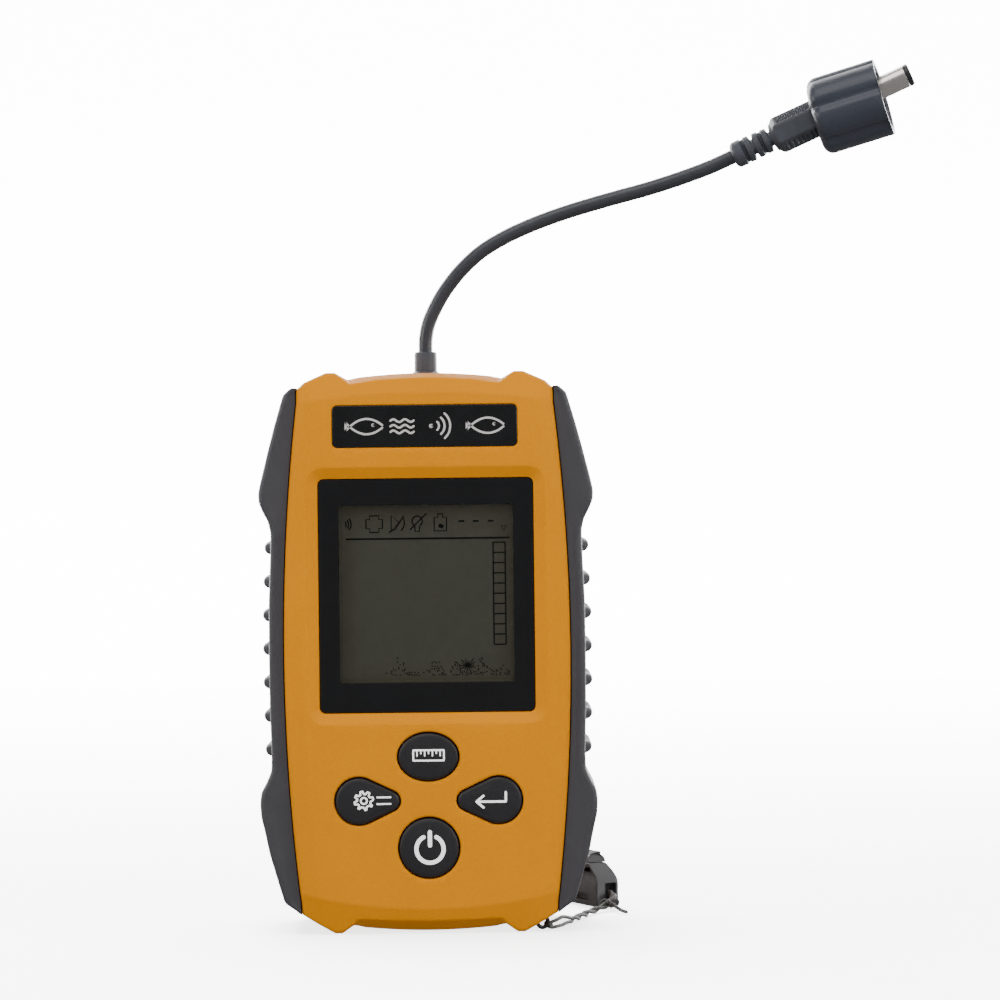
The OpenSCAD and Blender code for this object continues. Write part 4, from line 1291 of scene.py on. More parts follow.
class FINDER_OT_keys(bpy.types.Operator):
    """The four keys with crowned tops, flanges and printed symbols"""
    bl_idname = "finder.keys"
    bl_label = "Keys"

    def execute(self, context):
        sizes = context.scene.finder_sizes
        crown, ink = mm(sizes.key_crown), mm(sizes.print_t)
        symbols = key_symbols()
        for name, (outline_of, centre) in key_shapes().items():
            low, high = node_box(name)
            middle = (low + high)[[0, 2]] / 2

            def top(x, z, low=low, middle=middle):
                """Crowned face: a paraboloid about the key's middle, 7 mm wide to each side."""
                return low[1] + crown * ((x - middle[0]) ** 2 + (z - middle[1]) ** 2) / 49

            insets = [7.0, 5.2, 3.6, 2.2, 1.2, 0.6, 0.35, 0.15, 0.0]
            falls = [0, 0, 0, 0, 0, 0, 0.06, 0.2, 0.55]
            rings = []
            biggest = outline_of(0.0)
            hub = biggest.mean(axis=0)
            for inset, fall in zip(insets, falls):
                share = 1 - inset / 8.0 if inset > 1.3 else None
                o = outline_of(-inset) if share is None else hub + (biggest - hub) * share
                x, z = o[:, 0] + centre[0], o[:, 1] + centre[1]
                rings.append(np.stack([x, top(x, z) + fall, z], axis=1))
            for grow, depth in ((0.0, FACE_Y + 3.4), (1.2, FACE_Y + 3.4), (1.2, FACE_Y + 4.3)):
                rings.append(laid(outline_of(grow), depth, centre))
            reach = high[1] - FACE_Y - 4.2
            stem = [[0, 0.01], [0, 1.6], [reach, 1.6], [reach, 0.01]]
            seat = {"enter_key": 14.6, "setup_key": -14.6}.get(name, 0.0)
            post = turned(stem, np.array([seat, FACE_Y + 4.2, middle[1]]), TO_BACK, UP, 20)
            add_piece(name + "_cap", [skin(np.stack(rings)), skin(post)], finish("key"), name,
                      [name])
            parts = [line_on(resampled(p, closed), w, top, ink, closed)
                     for p, w, closed in symbols[name]]
            add_piece(name + "_symbol", parts, finish("print"), name)
        return {"FINISHED"}


def resampled(points, closed, step=0.3):
    """A line with a point at least every step, and each corner kept."""
    p = np.asarray(points, float)
    ends = np.concatenate([p, p[:1]]) if closed else p
    pieces = []
    for a, b in zip(ends[:-1], ends[1:]):
        count = max(1, int(math.ceil(np.linalg.norm(b - a) / step)))
        pieces.append(a + (b - a) * (np.arange(count) / count)[:, None])
    return np.concatenate(pieces if closed else [*pieces, ends[-1:]])


# ---------------------------------------------------------------- lead, plug and collar

def tube_piece(name, path, diameter, side, material, count=14, nodes=()):
    """A tube along a path with its own map, round it in U and along it in V, in metres."""
    grid = sweep(path, diameter / 2, side, count)
    start, end = path[0], path[-1]
    tips = [start + (grid[0] - start) * s for s in (0.05, 0.7)]
    tails = [end + (grid[-1] - end) * s for s in (0.7, 0.05)]
    grid = np.concatenate([np.stack(tips), grid, np.stack(tails)])
    points, faces = skin(grid)
    mesh = mesh_of(name, [(points, faces)])
    distance = np.concatenate([[0, 0], along(path), [along(path)[-1]] * 2]) * MM
    corner = corners_of(mesh)
    column = (corner % count) / count
    starts = np.zeros(len(mesh.polygons), np.int32)
    mesh.polygons.foreach_get("loop_start", starts)
    totals = np.zeros(len(mesh.polygons), np.int32)
    mesh.polygons.foreach_get("loop_total", totals)
    face_of = np.repeat(np.arange(len(totals)), totals)
    highest = np.maximum.reduceat(column, starts)
    wraps = (highest[face_of] > 0.6) & (column < 0.3)
    map_along(mesh, column + wraps, distance[np.minimum(corner // count, len(distance) - 1)])
    return add_piece(name, mesh, material, "case", nodes, 50)


class FINDER_OT_lead(bpy.types.Operator):
    """Lead from the gland to the plug, and the gland that it leaves"""
    bl_idname = "finder.lead"
    bl_label = "Lead"

    def execute(self, context):
        path = smooth_path(LEAD_ROUTE, 6)
        lead = tube_piece("lead_sheath", path, LEAD_D, TO_BACK, finish("lead"), 20,
                          ["lead_cable"])
        low, high = node_box("cable_gland")
        z0 = BODY_H - END_GAP + 0.02
        profile = [[low[2] - z0, 1.8], [low[2] - z0, 2.4], [0, 2.4], [0, 3.3], [0.1, 3.4],
                   [0.5, 3.4], [0.72, 3.2], [0.8, 2.95], [1.0, 2.8], [high[2] - z0 - 0.5, 2.76],
                   [high[2] - z0 - 0.15, 2.62], [high[2] - z0, 2.3], [high[2] - z0 - 0.1, 1.9],
                   [high[2] - z0 - 0.8, 1.78]]
        gland = ring_skin(turned(profile, np.array([0, 3.0, z0]), UP, TO_CAMERA, 40))
        add_piece("gland_sleeve", [gland], finish("pvc"), "case", ["cable_gland"])
        plug = build_plug(context.scene.finder_sizes)
        collar = build_collar(context.scene.finder_sizes)
        return {"FINISHED"}


def relief_radius(s, angle, radius):
    """Strain relief: four ribs, and between them grooves that are cut from above and below, then
    from both sides, so that two bridges are left in each."""
    out = radius
    for k in range(4):
        groove = np.exp(-(((s - (3.35 + 2.3 * k)) / 0.42) ** 4))
        bridge = np.clip(1.5 * np.abs(np.cos(angle + (math.pi / 2 if k % 2 else 0))) - 0.35, 0, 1)
        out = out - groove * (0.35 + 0.95 * bridge)
    return out


def plug_grip_radius(s, angle, radius, pitch):
    """Plug grip: a hexagon with soft corners, with diamonds cut into two of its faces and
    crosswise grooves into the two below them."""
    sector = (angle + math.pi / 6) % (math.pi / 3) - math.pi / 6
    hexagon = 1 / np.cos(sector)
    soft = np.minimum(hexagon, 1.115)
    share = np.clip((radius - 3.0) / 1.1, 0, 1)
    out = radius * (1 + (soft - 1) * share)
    face = np.round((angle % (2 * math.pi)) / (math.pi / 3)).astype(int) % 6
    local = sector * 4.2
    inside = np.clip((s - 1.3) / 0.4, 0, 1) * np.clip((10.9 - s) / 0.4, 0, 1)
    edge = np.clip((0.46 - np.abs(sector)) / 0.06, 0, 1)
    one = np.sin(math.pi * (s + 1.3 * local) / pitch)
    two = np.sin(math.pi * (s - 1.3 * local) / pitch)
    diamonds = 0.42 * np.minimum(np.abs(one), np.abs(two)) - 0.3
    ribs = 0.36 * np.abs(np.sin(math.pi * s / (1.15 * pitch))) - 0.3
    pattern = np.select([np.isin(face, (2, 5)), np.isin(face, (1, 4))], [diamonds, ribs], 0)
    return out + pattern * inside * edge


def build_plug(sizes):
    """Strain relief, grip, barrel and end ring of the plug, all turned about its axis."""
    s = np.linspace(0, RELIEF_L, 90)
    hull = np.interp(s, [0, 0.4, 0.9, 2.6, 10.2, RELIEF_L], [2.2, 2.9, 3.25, 3.3, 3.05, 3.6])
    relief = turned(np.stack([s, hull], axis=1), PLUG_AT, PLUG_AXIS, TO_CAMERA, 48, relief_radius)
    pieces = [add_piece("ribbed_strain_relief", [skin(relief)], finish("pvc"), "case",
                        ["strain_relief"], 60)]
    s = np.linspace(0, PLUG_GRIP_L, 150)
    hull = np.interp(s, [0, 0.5, 1.1, 10.9, PLUG_GRIP_L], [3.5, 3.9, 4.12, 4.12, 3.9])
    grip = turned(np.stack([s, hull], axis=1), PLUG_AT + (RELIEF_L + 0.02) * PLUG_AXIS, PLUG_AXIS,
                  TO_CAMERA, 144,
                  lambda a, b, c: plug_grip_radius(a, b, c, mm(sizes.knurl_pitch)))
    pieces.append(add_piece("knurled_plug_grip", [skin(grip)], finish("pvc"), "case",
                            ["plug_grip"], 60))
    r, long = 2.75, TIP_L - TIP_RING - BARREL_AT
    profile = [[-1.8, 2.0], [-1.8, 2.2], [0, 2.2], [0, r - 0.15], [0.15, r], [long - 0.1, r],
               [long, r - 0.1], [long, 2.0]]
    barrel = ring_skin(turned(profile, PLUG_AT + BARREL_AT * PLUG_AXIS, PLUG_AXIS, TO_BACK, 64))
    pieces.append(add_piece("plated_barrel", [barrel], finish("nickel"), "case",
                            ["dc_barrel"]))
    start = PLUG_AT + (TIP_L - 12) * PLUG_AXIS
    ring0 = 12 - TIP_RING + 0.02
    profile = [[0, 1.42], [0, 1.95], [ring0, 1.95], [ring0, r - 0.1], [ring0 + 0.1, r - 0.02],
               [11.75, r - 0.02], [11.95, r - 0.18], [12, r - 0.45], [12, 1.6], [11.8, 1.42]]
    tip = ring_skin(turned(profile, start, PLUG_AXIS, TO_BACK, 64))
    pieces.append(add_piece("insulating_end_ring", [tip], finish("tip"), "case",
                            ["barrel_insulator"]))
    for name, key in (("plug_body", "collar"), ("plug_seal", "seal"), ("centre_contact", "brass")):
        dress(name, finish(key))
        pieces.append(frame["nodes"][name])
    return pieces


def build_collar(sizes):
    """Loose collar: a cup whose outside has six broad lobes with shallow grooves between them,
    and whose inside carries a thread. Both are offsets of a turned profile."""
    outer, bore, long = 9.65, 8.15, 17.5
    count = 144
    pitch = mm(sizes.thread_pitch)
    back = bend((2.4, outer - 2.4), 2.4, 180, 90, 9)
    out = np.concatenate([[[0.0, 5.4], [0.0, 5.9]], back, np.stack(
        [np.linspace(3.2, long - 0.35, 12), np.full(12, outer)], axis=1),
        [[long - 0.1, outer - 0.08], [long, outer - 0.25], [long, bore + 0.45],
         [long - 0.1, bore + 0.3]]])
    inside = np.stack([np.linspace(long - 0.5, 2.6, 120), np.full(120, bore)], axis=1)
    end = [[2.2, bore - 0.3], [2.2, 6.0], [2.0, 5.4]]
    profile = np.concatenate([out, inside, end])

    def change(s, angle, radius):
        groove_at = (angle - math.radians(48) + math.pi / 6) % (math.pi / 3) - math.pi / 6
        groove = np.exp(-((groove_at / 0.13) ** 2))
        crown = 0.12 * np.cos(groove_at * 6)
        is_out = (radius > 6.0) & (np.arange(len(profile))[:, None] < len(out) - 3)
        share = np.clip((radius - 6.0) / 2.5, 0, 1)
        turn = (s / pitch - angle / (2 * math.pi)) % 1.0
        tooth = 0.42 * np.clip(1.6 - np.abs(turn - 0.5) * 4.4, 0, 1)
        fade = np.clip((long - 0.9 - s) / 1.0, 0, 1) * np.clip((s - 3.2) / 1.0, 0, 1)
        is_in = np.abs(radius - bore) < 1e-6
        return radius - is_out * share * (0.8 * groove + crown + 0.1) - is_in * fade * tooth

    cup = ring_skin(turned(profile, COLLAR_AT, COLLAR_AXIS, TO_CAMERA, count, change))
    return add_piece("threaded_collar", [cup], finish("collar"), "collar",
                     ["plug_collar"], 40)


# ---------------------------------------------------------------- lanyard, buckle and strap

def strand_path(which, twist):
    """One of the two strands of the lanyard cord: it opens into an eye beside the lug, then winds
    round the cord's own route half a turn behind the other, and closes in the buckle."""
    path = smooth_path(CORD_ROUTE, 10)
    s = along(path)
    side, up = path_frames(path, UP)
    turn = 2 * math.pi * np.maximum(s - EYE_L, 0) / twist + (math.pi if which else 0)
    wide = np.interp(s, [0, 1.2, 6.0, EYE_L - 1.5, EYE_L], [0.25, 0.7, 1.0, 0.5, 0.45])
    lift = 0.55 * np.sin(math.pi * np.clip(s / EYE_L, 0, 1))
    out = (path + wide[:, None] * (np.cos(turn)[:, None] * side + np.sin(turn)[:, None] * up)
           + lift[:, None] * UP)
    out[:, 2] = np.maximum(out[:, 2], STRAND_D / 2 + 0.05)
    return out


class FINDER_OT_lanyard(bpy.types.Operator):
    """Lanyard eye, the two twisted strands of its cord, and their knot at the buckle"""
    bl_idname = "finder.lanyard"
    bl_label = "Lanyard cord"

    def execute(self, context):
        twist = mm(context.scene.finder_sizes.strand_twist)
        low, high = node_box("lanyard_eye")
        centre = (low + high) / 2
        t = np.arange(40) * 2 * math.pi / 40
        lean = unit([math.cos(math.radians(20)), math.sin(math.radians(20)), 0])
        ring = centre + 1.35 * (np.cos(t)[:, None] * lean + np.sin(t)[:, None] * UP)
        around = np.arange(16) * 2 * math.pi / 16
        outward = (ring - centre) / 1.35
        across = np.cross(lean, UP)
        eye = (ring[:, None, :] + 0.52 * (np.cos(around)[None, :, None] * outward[:, None, :]
                                          + np.sin(around)[None, :, None] * across))
        post = smooth_path(np.array([centre + [-2.6, 0, 2.6], centre + [-1.6, 0, 1.4],
                                     centre + [-0.9, 0, 0.4]]), 5)
        lug = skin(sweep(post, np.linspace(1.0, 0.55, len(post))[:, None], across, 14))
        cuff_path = np.stack([centre + unit([1.6, 1.4, -0.9]) * d for d in (1.0, 1.6, 2.6, 3.1)])
        cuff = skin(sweep(cuff_path, np.array([0.62, 0.8, 0.8, 0.6])[:, None], UP, 16))
        add_piece("lanyard_eye_ring", [ring_skin(eye), lug, cuff], finish("eye"), "case",
                  ["lanyard_eye"])
        for which in (0, 1):
            path = strand_path(which, twist)
            nodes = ["lanyard_cord"] if which == 0 else []
            strand = tube_piece(f"lanyard_strand_{which + 1}", path, STRAND_D, UP, finish("cord"),
                                12, nodes)
        knot = build_knot()
        buckle = build_buckle()
        return {"FINISHED"}


def build_knot():
    """Overhand knot in front of the buckle with its cut end: a trefoil loop of the strand, then a
    short tail that lies on the floor."""
    t = np.linspace(0.15, 2 * math.pi - 0.15, 60)
    centre = np.array([44.6, 21.6, 2.1])
    loop = np.stack([1.25 * (np.sin(t) + 0.9 * np.sin(2 * t)),
                     0.75 * (np.cos(t) - 0.9 * np.cos(2 * t)),
                     0.7 * np.sin(3 * t)], axis=1)
    tail = np.array([[45.0, 20.6, 2.2], [46.2, 18.6, 1.5], [47.4, 16.4, 0.9], [48.7, 14.0, 0.75]])
    tail = smooth_path(tail, 6)
    thin_end = np.append(np.full(len(tail) - 1, STRAND_D / 2), 0.33)[:, None]
    parts = [skin(sweep(centre + loop, STRAND_D / 2, UP, 12)),
             skin(sweep(tail, thin_end, UP, 12))]
    knot = add_piece("lanyard_knot", parts, finish("cord"), "case", (), 50)
    corner = corners_of(knot.data)
    map_along(knot.data, (corner % 12) / 12, (corner // 12) * 0.3 * MM)
    return knot


def buckle_section(grow=0.0):
    """End view of the buckle: an upright body with cut corners, drawn in across and up."""
    points = np.array([[3.1, 1.2], [3.1, 8.4], [4.3, 11.7], [-0.7, 11.7], [-2.5, 9.4],
                       [-3.35, 7.6], [-3.35, 1.4], [-2.4, 0.35], [2.4, 0.35]])
    centre = points.mean(axis=0)
    away = points - centre
    return centre + away * (1 + grow / np.linalg.norm(away, axis=1, keepdims=True))


def lean_end(part):
    """The buckle's end face: above a level 6.6 mm up, its first 2 mm lean back by a third."""
    points, faces = part
    points = points.copy()
    near = np.clip((2.0 - points[:, 0]) / 2.0, 0, 1)
    points[:, 0] += 0.4 * near * np.maximum(points[:, 2] - 6.6, 0)
    return points, faces


def with_level(points, z):
    """The outline with two more corners where its upright sides cross the height z."""
    right = [float(np.interp(z, points[[0, 1], 1], points[[0, 1], 0])), z]
    left = [float(points[5:7, 0].mean()), z]
    return np.concatenate([points[:1], [right], points[1:6], [left], points[6:]])


def rounded_outline(points, radius, steps=4):
    """A polygon whose corners are quadratic curves that start a radius before each corner."""
    out = []
    for k in range(len(points)):
        before, here, after = points[k - 1], points[k], points[(k + 1) % len(points)]
        a = here + unit(before - here) * radius
        b = here + unit(after - here) * radius
        t = np.linspace(0, 1, steps)[:, None]
        out.append((1 - t) ** 2 * a + 2 * t * (1 - t) * here + t ** 2 * b)
    return np.concatenate(out)


def prism_x(outlines, xs):
    """A closed solid through outlines drawn across and up, each laid at its own place along X."""
    rings = [np.stack([np.full(len(o), x), o[:, 0], o[:, 1]], axis=1) for o, x in zip(outlines, xs)]
    return skin(np.stack(rings))


def build_buckle():
    """Side-release buckle: the socket that holds the cord, and the pronged half with the strap."""
    def place(part):
        return placed(part, BUCKLE_AT, BUCKLE_X, BUCKLE_Y)

    def bar(x, y, z, radius):
        """A bar along the buckle, between two places on each of its own axes."""
        corners = np.array([[y[1], z[0]], [y[1], z[1]], [y[0], z[1]], [y[0], z[0]]])
        return place(prism_x([rounded_outline(corners, radius)] * 2, x))

    full = rounded_outline(with_level(buckle_section(), 6.6), 0.35)
    small = rounded_outline(with_level(buckle_section(-0.35), 6.6), 0.3)
    body = place(lean_end(prism_x([small, full, full, full, small], [0.05, 0.3, 2.2, 16.6, 17.0])))
    recess = bar((-1.0, 3.2), (-2.6, 0.6), (2.4, 6.6), 0.3)
    mouth = bar((6.0, 18.0), (-2.0, 2.0), (1.2, 10.8), 0.4)
    windows = [bar((2.2, 13.0), (1.0, 6.0), (9.2, 10.6), 0.3),
               bar((4.4, 14.0), (1.0, 6.0), (1.9, 3.6), 0.3)]
    mesh = carve([body], [recess, mouth, *windows])
    socket = add_piece("buckle_body", mesh, finish("acetal"), "case",
                       ["buckle_socket"], 30)
    # rounded thumb pad over the body, with a narrow gap below it
    lid = np.array([[4.4, 11.85], [4.6, 13.0], [3.4, 14.15], [1.2, 14.15], [-0.3, 13.2],
                    [-0.9, 11.85]])
    lid_small = rounded_outline(lid.mean(axis=0) + (lid - lid.mean(axis=0)) * 0.86, 0.4)
    lid = rounded_outline(lid, 0.5)
    pad = prism_x([lid_small, lid, lid, lid, lid_small], [0.1, 0.5, 2.2, 13.5, 14.2])
    pad = place(lean_end(pad))
    web = bar((4.5, 13.0), (0.4, 2.6), (11.4, 12.4), 0.1)
    cover = add_piece("buckle_pad", [pad, web], finish("acetal"), "case")
    return [socket, cover, frame["nodes"]["buckle_plug"]]


def strap_route(pitch):
    """Middle line of the wound strap from inside out: a flat oval spiral, straight runs joined by
    half circles whose radius grows by half a pitch each time."""
    middle_z = node_box("strap_hank")[0][2] + STRAP_W / 2
    turns = 7
    centre = np.array([-5.0, 61.0])
    half_run = 23.5
    points = []
    for k in range(2 * turns):
        radius = 0.55 + pitch / 2 * k
        sign = 1 if k % 2 == 0 else -1
        middle = centre + [sign * half_run, sign * pitch / 4]
        t = np.radians(np.linspace(-90, 90, 12 + k)) + (0 if sign > 0 else math.pi)
        arc = middle + radius * np.stack([np.cos(t), np.sin(t)], axis=1)
        points.append(arc)
    flat_path = np.concatenate(points)
    return np.column_stack([flat_path, np.full(len(flat_path), middle_z)])


class FINDER_OT_strap(bpy.types.Operator):
    """Neck strap of woven webbing, wound into a flat hank with its tie, and the buckle's prongs"""
    bl_idname = "finder.strap"
    bl_label = "Neck strap"

    def execute(self, context):
        pitch = mm(context.scene.finder_sizes.strap_pitch)
        half = STRAP_W / 2
        route = strap_route(pitch)
        apart = np.linalg.norm(np.diff(route, axis=0), axis=1) > 0.02
        route = route[np.concatenate([[True], apart])]
        # the outer end leaves the hank and runs straight to the buckle's bar
        bar = BUCKLE_AT + 22.5 * BUCKLE_X
        lead_in = BUCKLE_AT + 34.0 * BUCKLE_X
        tail = smooth_path(np.array([route[-1], [lead_in[0] - 0.6, lead_in[1] + 0.4, route[-1, 2]],
                                     [bar[0], bar[1], route[-1, 2]]]), 10)[1:]
        path = np.concatenate([route, tail])
        s = along(path)
        sideways = np.cross(np.gradient(path, axis=0), UP)
        sideways /= np.linalg.norm(sideways, axis=1, keepdims=True)
        thick = 0.42
        section = [(-half, -thick), (-half * 0.5, -thick), (0, -thick), (half * 0.5, -thick),
                   (half, -thick), (half + 0.12, 0), (half, thick), (half * 0.5, thick), (0, thick),
                   (-half * 0.5, thick), (-half, thick), (-half - 0.12, 0)]
        section = np.array(section)
        grid = (path[:, None, :] + section[None, :, 0:1] * UP
                + section[None, :, 1:2] * sideways[:, None, :])
        points, faces = skin(grid)
        mesh = mesh_of("strap_webbing", [(points, faces)])
        corner = corners_of(mesh)
        map_along(mesh, (section[corner % 12, 0] + half) * MM, s[corner // 12] * MM)
        strap = add_piece("strap_webbing", mesh, finish("webbing"), "strap",
                          ["strap_hank"], 60)
        tie = build_tie()
        dress("buckle_plug", finish("acetal"))
        return {"FINISHED"}


def build_tie():
    """Elastic band round the hank: a rounded band carried along a rounded rectangle upright."""
    low, high = node_box("strap_tie")
    centre, half = (low + high) / 2, (high - low) / 2
    outline = round_rect(half[1] - 0.4, half[2] - 0.4, 1.6, 8)
    path = np.column_stack([np.full(len(outline), centre[0]), outline[:, 0] + centre[1],
                            outline[:, 1] + centre[2]])
    heading = np.roll(path, -1, axis=0) - np.roll(path, 1, axis=0)
    normal = np.cross(heading, [1.0, 0, 0])
    normal /= np.linalg.norm(normal, axis=1, keepdims=True)
    width = half[0]
    section = np.array([[-width, -0.3], [-width * 0.5, -0.38], [width * 0.5, -0.38], [width, -0.3],
                        [width, 0.3], [width * 0.5, 0.38], [-width * 0.5, 0.38], [-width, 0.3]])
    grid = (path[:, None, :] + section[None, :, 0:1] * np.array([1.0, 0, 0])
            + section[None, :, 1:2] * normal[:, None, :])
    return add_piece("elastic_tie", [ring_skin(grid)], finish("tie"), "strap",
                     ["strap_tie"])


# ---------------------------------------------------------------- battery door and inside

class FINDER_OT_battery_door(bpy.types.Operator):
    """Battery door with its hinge barrel, thumb grooves and raised arrow"""
    bl_idname = "finder.battery_door"
    bl_label = "Battery door"

    def execute(self, context):
        low, high = node_box("battery_door")
        half = np.array([high[0], (HINGE[2] - low[2]) / 2])
        centre = (0, (HINGE[2] + low[2]) / 2)
        outlines = [round_rect(half[0] - g, half[1] - g, 1.1 - min(g, 0.6))
                    for g in (0.6, 0, 0, 0.12, 0.4, 1.0)]
        back = high[1]
        depths = [back - 2.0, back - 2.0, back - 0.4, back - 0.12, back, back]
        slab = stack(outlines, depths, centre)
        cutters = []
        for z in 18 + 2.2 * np.arange(5):
            reach = 7.5 - 0.5 * abs(z - 22.4) / 2.2
            groove = round_rect(reach, 0.62, 0.6, 6)
            wide = round_rect(reach + 0.3, 0.92, 0.9, 6)
            cutters.append(stack([groove * 0.92, groove, wide, wide],
                                 [high[1] - 0.75, high[1] - 0.45, high[1], high[1] + 1], (0, z)))
        knuckle = BACK_Y - HINGE[1]
        for x in (-16.0, 16.0):
            cutters.append(block([x - 2.0, high[1] - 5, HINGE[2] - knuckle - 0.3],
                                 [x + 2.0, high[1] + 1, HINGE[2] + 3]))
        mesh = carve([slab], cutters)
        barrels = []
        for x0, x1 in ((-high[0], -18.0), (-14.0, 14.0), (18.0, high[0])):
            w = x1 - x0
            profile = [[0, 0.86], [0, knuckle - 0.15], [0.15, knuckle], [w - 0.15, knuckle],
                       [w, knuckle - 0.15], [w, 0.86]]
            barrels.append(ring_skin(on_hinge(profile, x0, 36)))
        add_piece("door_panel", mesh, finish("abs"), "door", ["battery_door"], 28)
        add_piece("door_knuckles", barrels, finish("abs"), "door")
        arrow = np.array([[-3.2, 31.5], [0, 28.3], [3.2, 31.5]])
        surface = flat(high[1])
        marks = [line_on(arrow + [0, 2.6 * k], 0.7, surface, -0.3) for k in range(2)]
        add_piece("door_arrow", marks, finish("abs"), "door")
        return {"FINISHED"}


class FINDER_OT_inside(bpy.types.Operator):
    """Coiled battery springs, and the finishes of everything inside the case"""
    bl_idname = "finder.inside"
    bl_label = "Inside"

    def execute(self, context):
        wanted = {
            "shell_gasket": "seal", "lcd_panel": "cell_glass", "lcd_frame": "white_plastic",
            "backlight": "white_plastic", "contact_strip": "zebra", "main_board": "board",
            "board_chips": "epoxy", "pulse_transformer": "ferrite", "buzzer": "epoxy",
            "keypad_mat": "silicone", "board_screws": "steel", "case_screws": "steel",
            "battery_tray": "tray", "door_seal": "seal", "door_pin": "steel",
            "battery_cell_1": "cell", "battery_cell_2": "cell", "battery_cell_3": "cell",
            "battery_cell_4": "cell", "contact_plates": "steel", "gland_nut": "tray",
            "inner_lead": "lead", "lead_socket": "white_plastic"}
        for name, key in wanted.items():
            dress(name, finish(key))
        low, high = node_box("battery_springs")
        springs = []
        for k in range(4):
            x = (k - 1.5) * 11.2
            z0, z1 = (low[2], low[2] + 5) if k % 2 == 0 else (high[2], high[2] - 5)
            t = np.linspace(0, 1, 110)
            rise = np.clip((t - 0.14) / 0.72, 0, 1)
            radius = 2.9 - 0.9 * rise
            turn = 2 * math.pi * 5 * t
            z = z0 + (z1 - z0) * (0.06 + 0.88 * rise)
            path = np.stack([x + radius * np.cos(turn), 10.1 + radius * np.sin(turn), z], axis=1)
            springs.append(skin(sweep(path, 0.3, UP, 8)))
        add_piece("battery_coils", springs, finish("steel"), "case",
                  ["battery_springs"], 60)
        return {"FINISHED"}


# ---------------------------------------------------------------- studio

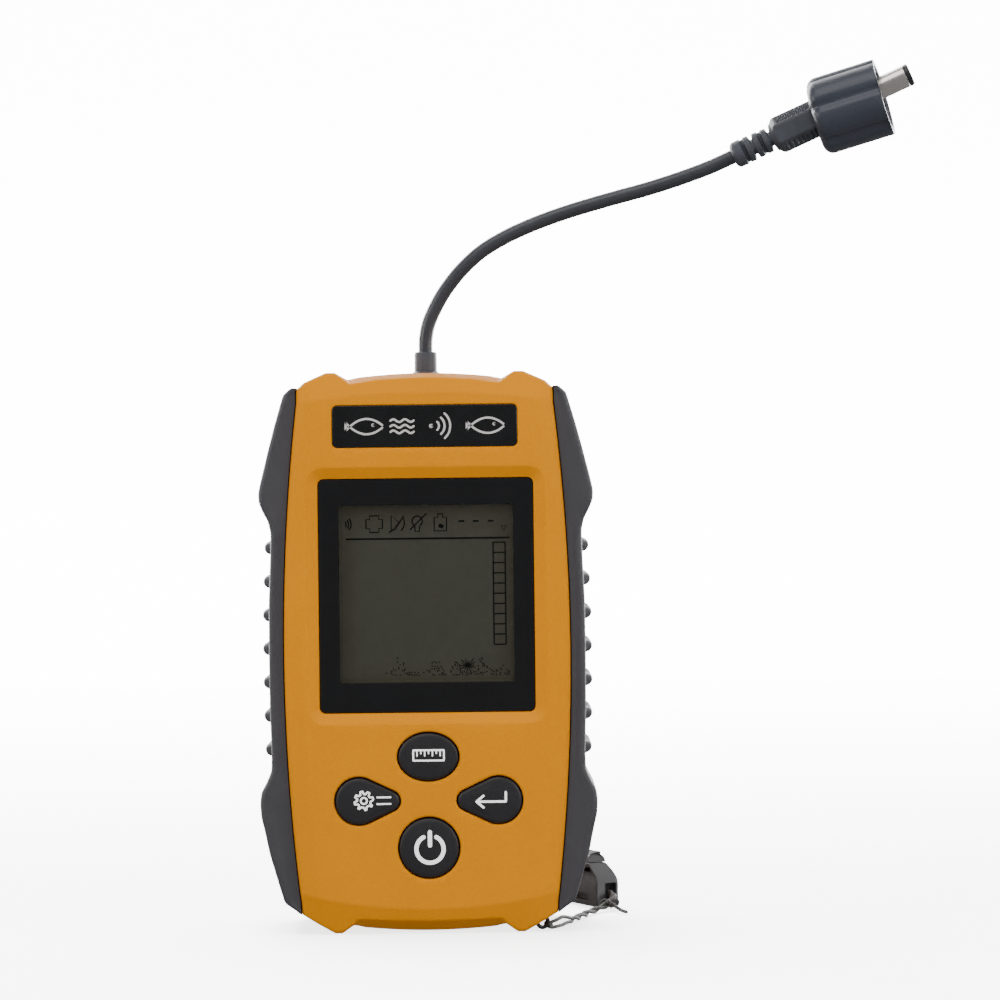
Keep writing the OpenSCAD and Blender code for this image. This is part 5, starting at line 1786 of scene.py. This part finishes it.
class FINDER_OT_studio(bpy.types.Operator):
    """Camera, pale floor that curves up into a backdrop, and soft lights"""
    bl_idname = "finder.studio"
    bl_label = "Studio"

    def execute(self, context):
        camera = bpy.data.cameras.new("camera")
        distance, width = 0.8, 0.241
        camera.sensor_width = 36.0
        camera.lens = camera.sensor_width * distance / width
        camera.clip_end = 50
        eye = bpy.data.objects.new("camera", camera)
        context.scene.collection.objects.link(eye)
        eye.matrix_world = (Matrix.Translation((0.018, FACE_Y * MM - distance, 0.1044))
                            @ Matrix.Rotation(math.radians(90), 4, "X")
                            @ Matrix.Rotation(math.radians(-0.65), 4, "Z"))
        context.scene.camera = eye
        self.backdrop(context)
        self.lights(context)
        return {"FINISHED"}

    def backdrop(self, context):
        """Floor, a quarter circle and a wall, carried along X in five sheets of its own."""
        arc = bend((1300.0, 900.0), 900.0, -90, 0, 24)
        front = np.array([[-3000.0, 0.0], [-45.0, 0.0]])
        near = np.array([[-45.0, 0.0], [160.0, 0.0]])
        rear = np.concatenate([[[160.0, 0.0]], arc, [[2200.0, 3200.0]]])
        glow = lit_sheet("lit_acrylic_sheet")
        self.sheets = bpy.data.collections.new("studio_sheets")
        # name, profile, reach along X, and whether it shows in the object's gloss
        sheets = (("studio_front", front, (-3500, 3500), False),
                  ("studio_near", near, (-3500, 3500), False),
                  ("studio_rear", rear, (-650, 650), False),
                  ("studio_left", rear, (-3500, -650), True),
                  ("studio_right", rear, (650, 3500), True))
        for name, profile, reach, in_gloss in sheets:
            x = np.linspace(*reach, 5)
            grid = np.stack([np.broadcast_to(x[None, :], (len(profile), 5)),
                             np.broadcast_to(profile[:, :1], (len(profile), 5)),
                             np.broadcast_to(profile[:, 1:], (len(profile), 5))], axis=-1)
            mesh = mesh_of(name, [skin(grid, wrap=False)])
            shade(mesh)
            mesh.materials.append(glow)
            floor = bpy.data.objects.new(name, mesh)
            context.scene.collection.objects.link(floor)
            # the glow is for the sheets' own face: lamps and sky light the object
            floor.visible_diffuse = False
            floor.visible_glossy = in_gloss
            self.sheets.objects.link(floor)

    def lights(self, context):
        """A dim even sky and six soft boxes."""
        world = bpy.data.worlds.new("studio_sky")
        context.scene.world = world
        world.use_nodes = True
        sky = world.node_tree.nodes["Background"]
        sky.inputs["Color"].default_value = (1, 1, 1, 1)
        sky.inputs["Strength"].default_value = 0.26
        # place, aim, size and power of each soft box; the last one lights the sheets alone
        boxes = [("top_box", (-0.15, -0.55, 1.05), (0, 0, 0.07), 0.8, 5.2),
                 ("left_box", (-0.95, -0.45, 0.45), (0, 0, 0.07), 0.6, 5.1),
                 ("right_box", (0.95, -0.45, 0.4), (0, 0, 0.07), 0.6, 5.5),
                 ("low_box", (0.1, -1.0, 0.16), (0, 0, 0.05), 0.5, 2.8),
                 ("rear_box", (0.0, 0.7, 0.9), (0, 0, 0.1), 0.7, 5.0),
                 ("sheet_box", (-0.2, 0.25, 1.5), (0, 0.05, 0), 1.1, 190.0)]
        for name, place, aim, size, power in boxes:
            light = bpy.data.lights.new(name, "AREA")
            light.size = size
            light.energy = power
            lamp = bpy.data.objects.new(name, light)
            context.scene.collection.objects.link(lamp)
            z = unit(np.array(place) - np.array(aim))
            x = unit(np.cross(UP, z))
            back = Matrix((x, np.cross(z, x), z)).transposed().to_4x4()
            back.translation = place
            lamp.matrix_world = back
            if name == "sheet_box":
                lamp.light_linking.receiver_collection = self.sheets
            # the low lamp fills the downward facets and leaves no glint on the lens
            lamp.visible_glossy = name != "low_box"


STEPS = ("studio", "lead", "lanyard", "strap", "front_shell", "rear_shell", "grips", "name_plate",
         "lens", "screen", "keys", "battery_door", "inside")


class FINDER_PT_panel(bpy.types.Panel):
    """Lists the steps that build the object, with their sizes and colours"""
    bl_idname = "FINDER_PT_panel"
    bl_label = "Fish finder"
    bl_space_type = "VIEW_3D"
    bl_region_type = "UI"
    bl_category = "Fish finder"

    def draw(self, context):
        for step in STEPS:
            self.layout.operator("finder." + step)
        for group in (context.scene.finder_sizes, context.scene.finder_colours):
            for key in type(group).__annotations__:
                self.layout.prop(group, key)


CLASSES = (FinderSizes, FinderColours, FINDER_OT_studio, FINDER_OT_lead, FINDER_OT_lanyard,
           FINDER_OT_strap, FINDER_OT_front_shell, FINDER_OT_rear_shell, FINDER_OT_grips,
           FINDER_OT_name_plate, FINDER_OT_lens, FINDER_OT_screen, FINDER_OT_keys,
           FINDER_OT_battery_door, FINDER_OT_inside, FINDER_PT_panel)


def register():
    """Adds the classes and the two groups of settings to Blender."""
    for cls in CLASSES:
        bpy.utils.register_class(cls)
    bpy.types.Scene.finder_sizes = bpy.props.PointerProperty(type=FinderSizes)
    bpy.types.Scene.finder_colours = bpy.props.PointerProperty(type=FinderColours)


def unregister():
    """Takes away what register added."""
    del bpy.types.Scene.finder_colours
    del bpy.types.Scene.finder_sizes
    for cls in reversed(CLASSES):
        bpy.utils.unregister_class(cls)


def main():
    """Builds everything, one step at a time."""
    register()
    for step in STEPS:
        getattr(bpy.ops.finder, step)()


if __name__ == "__main__":
    main()
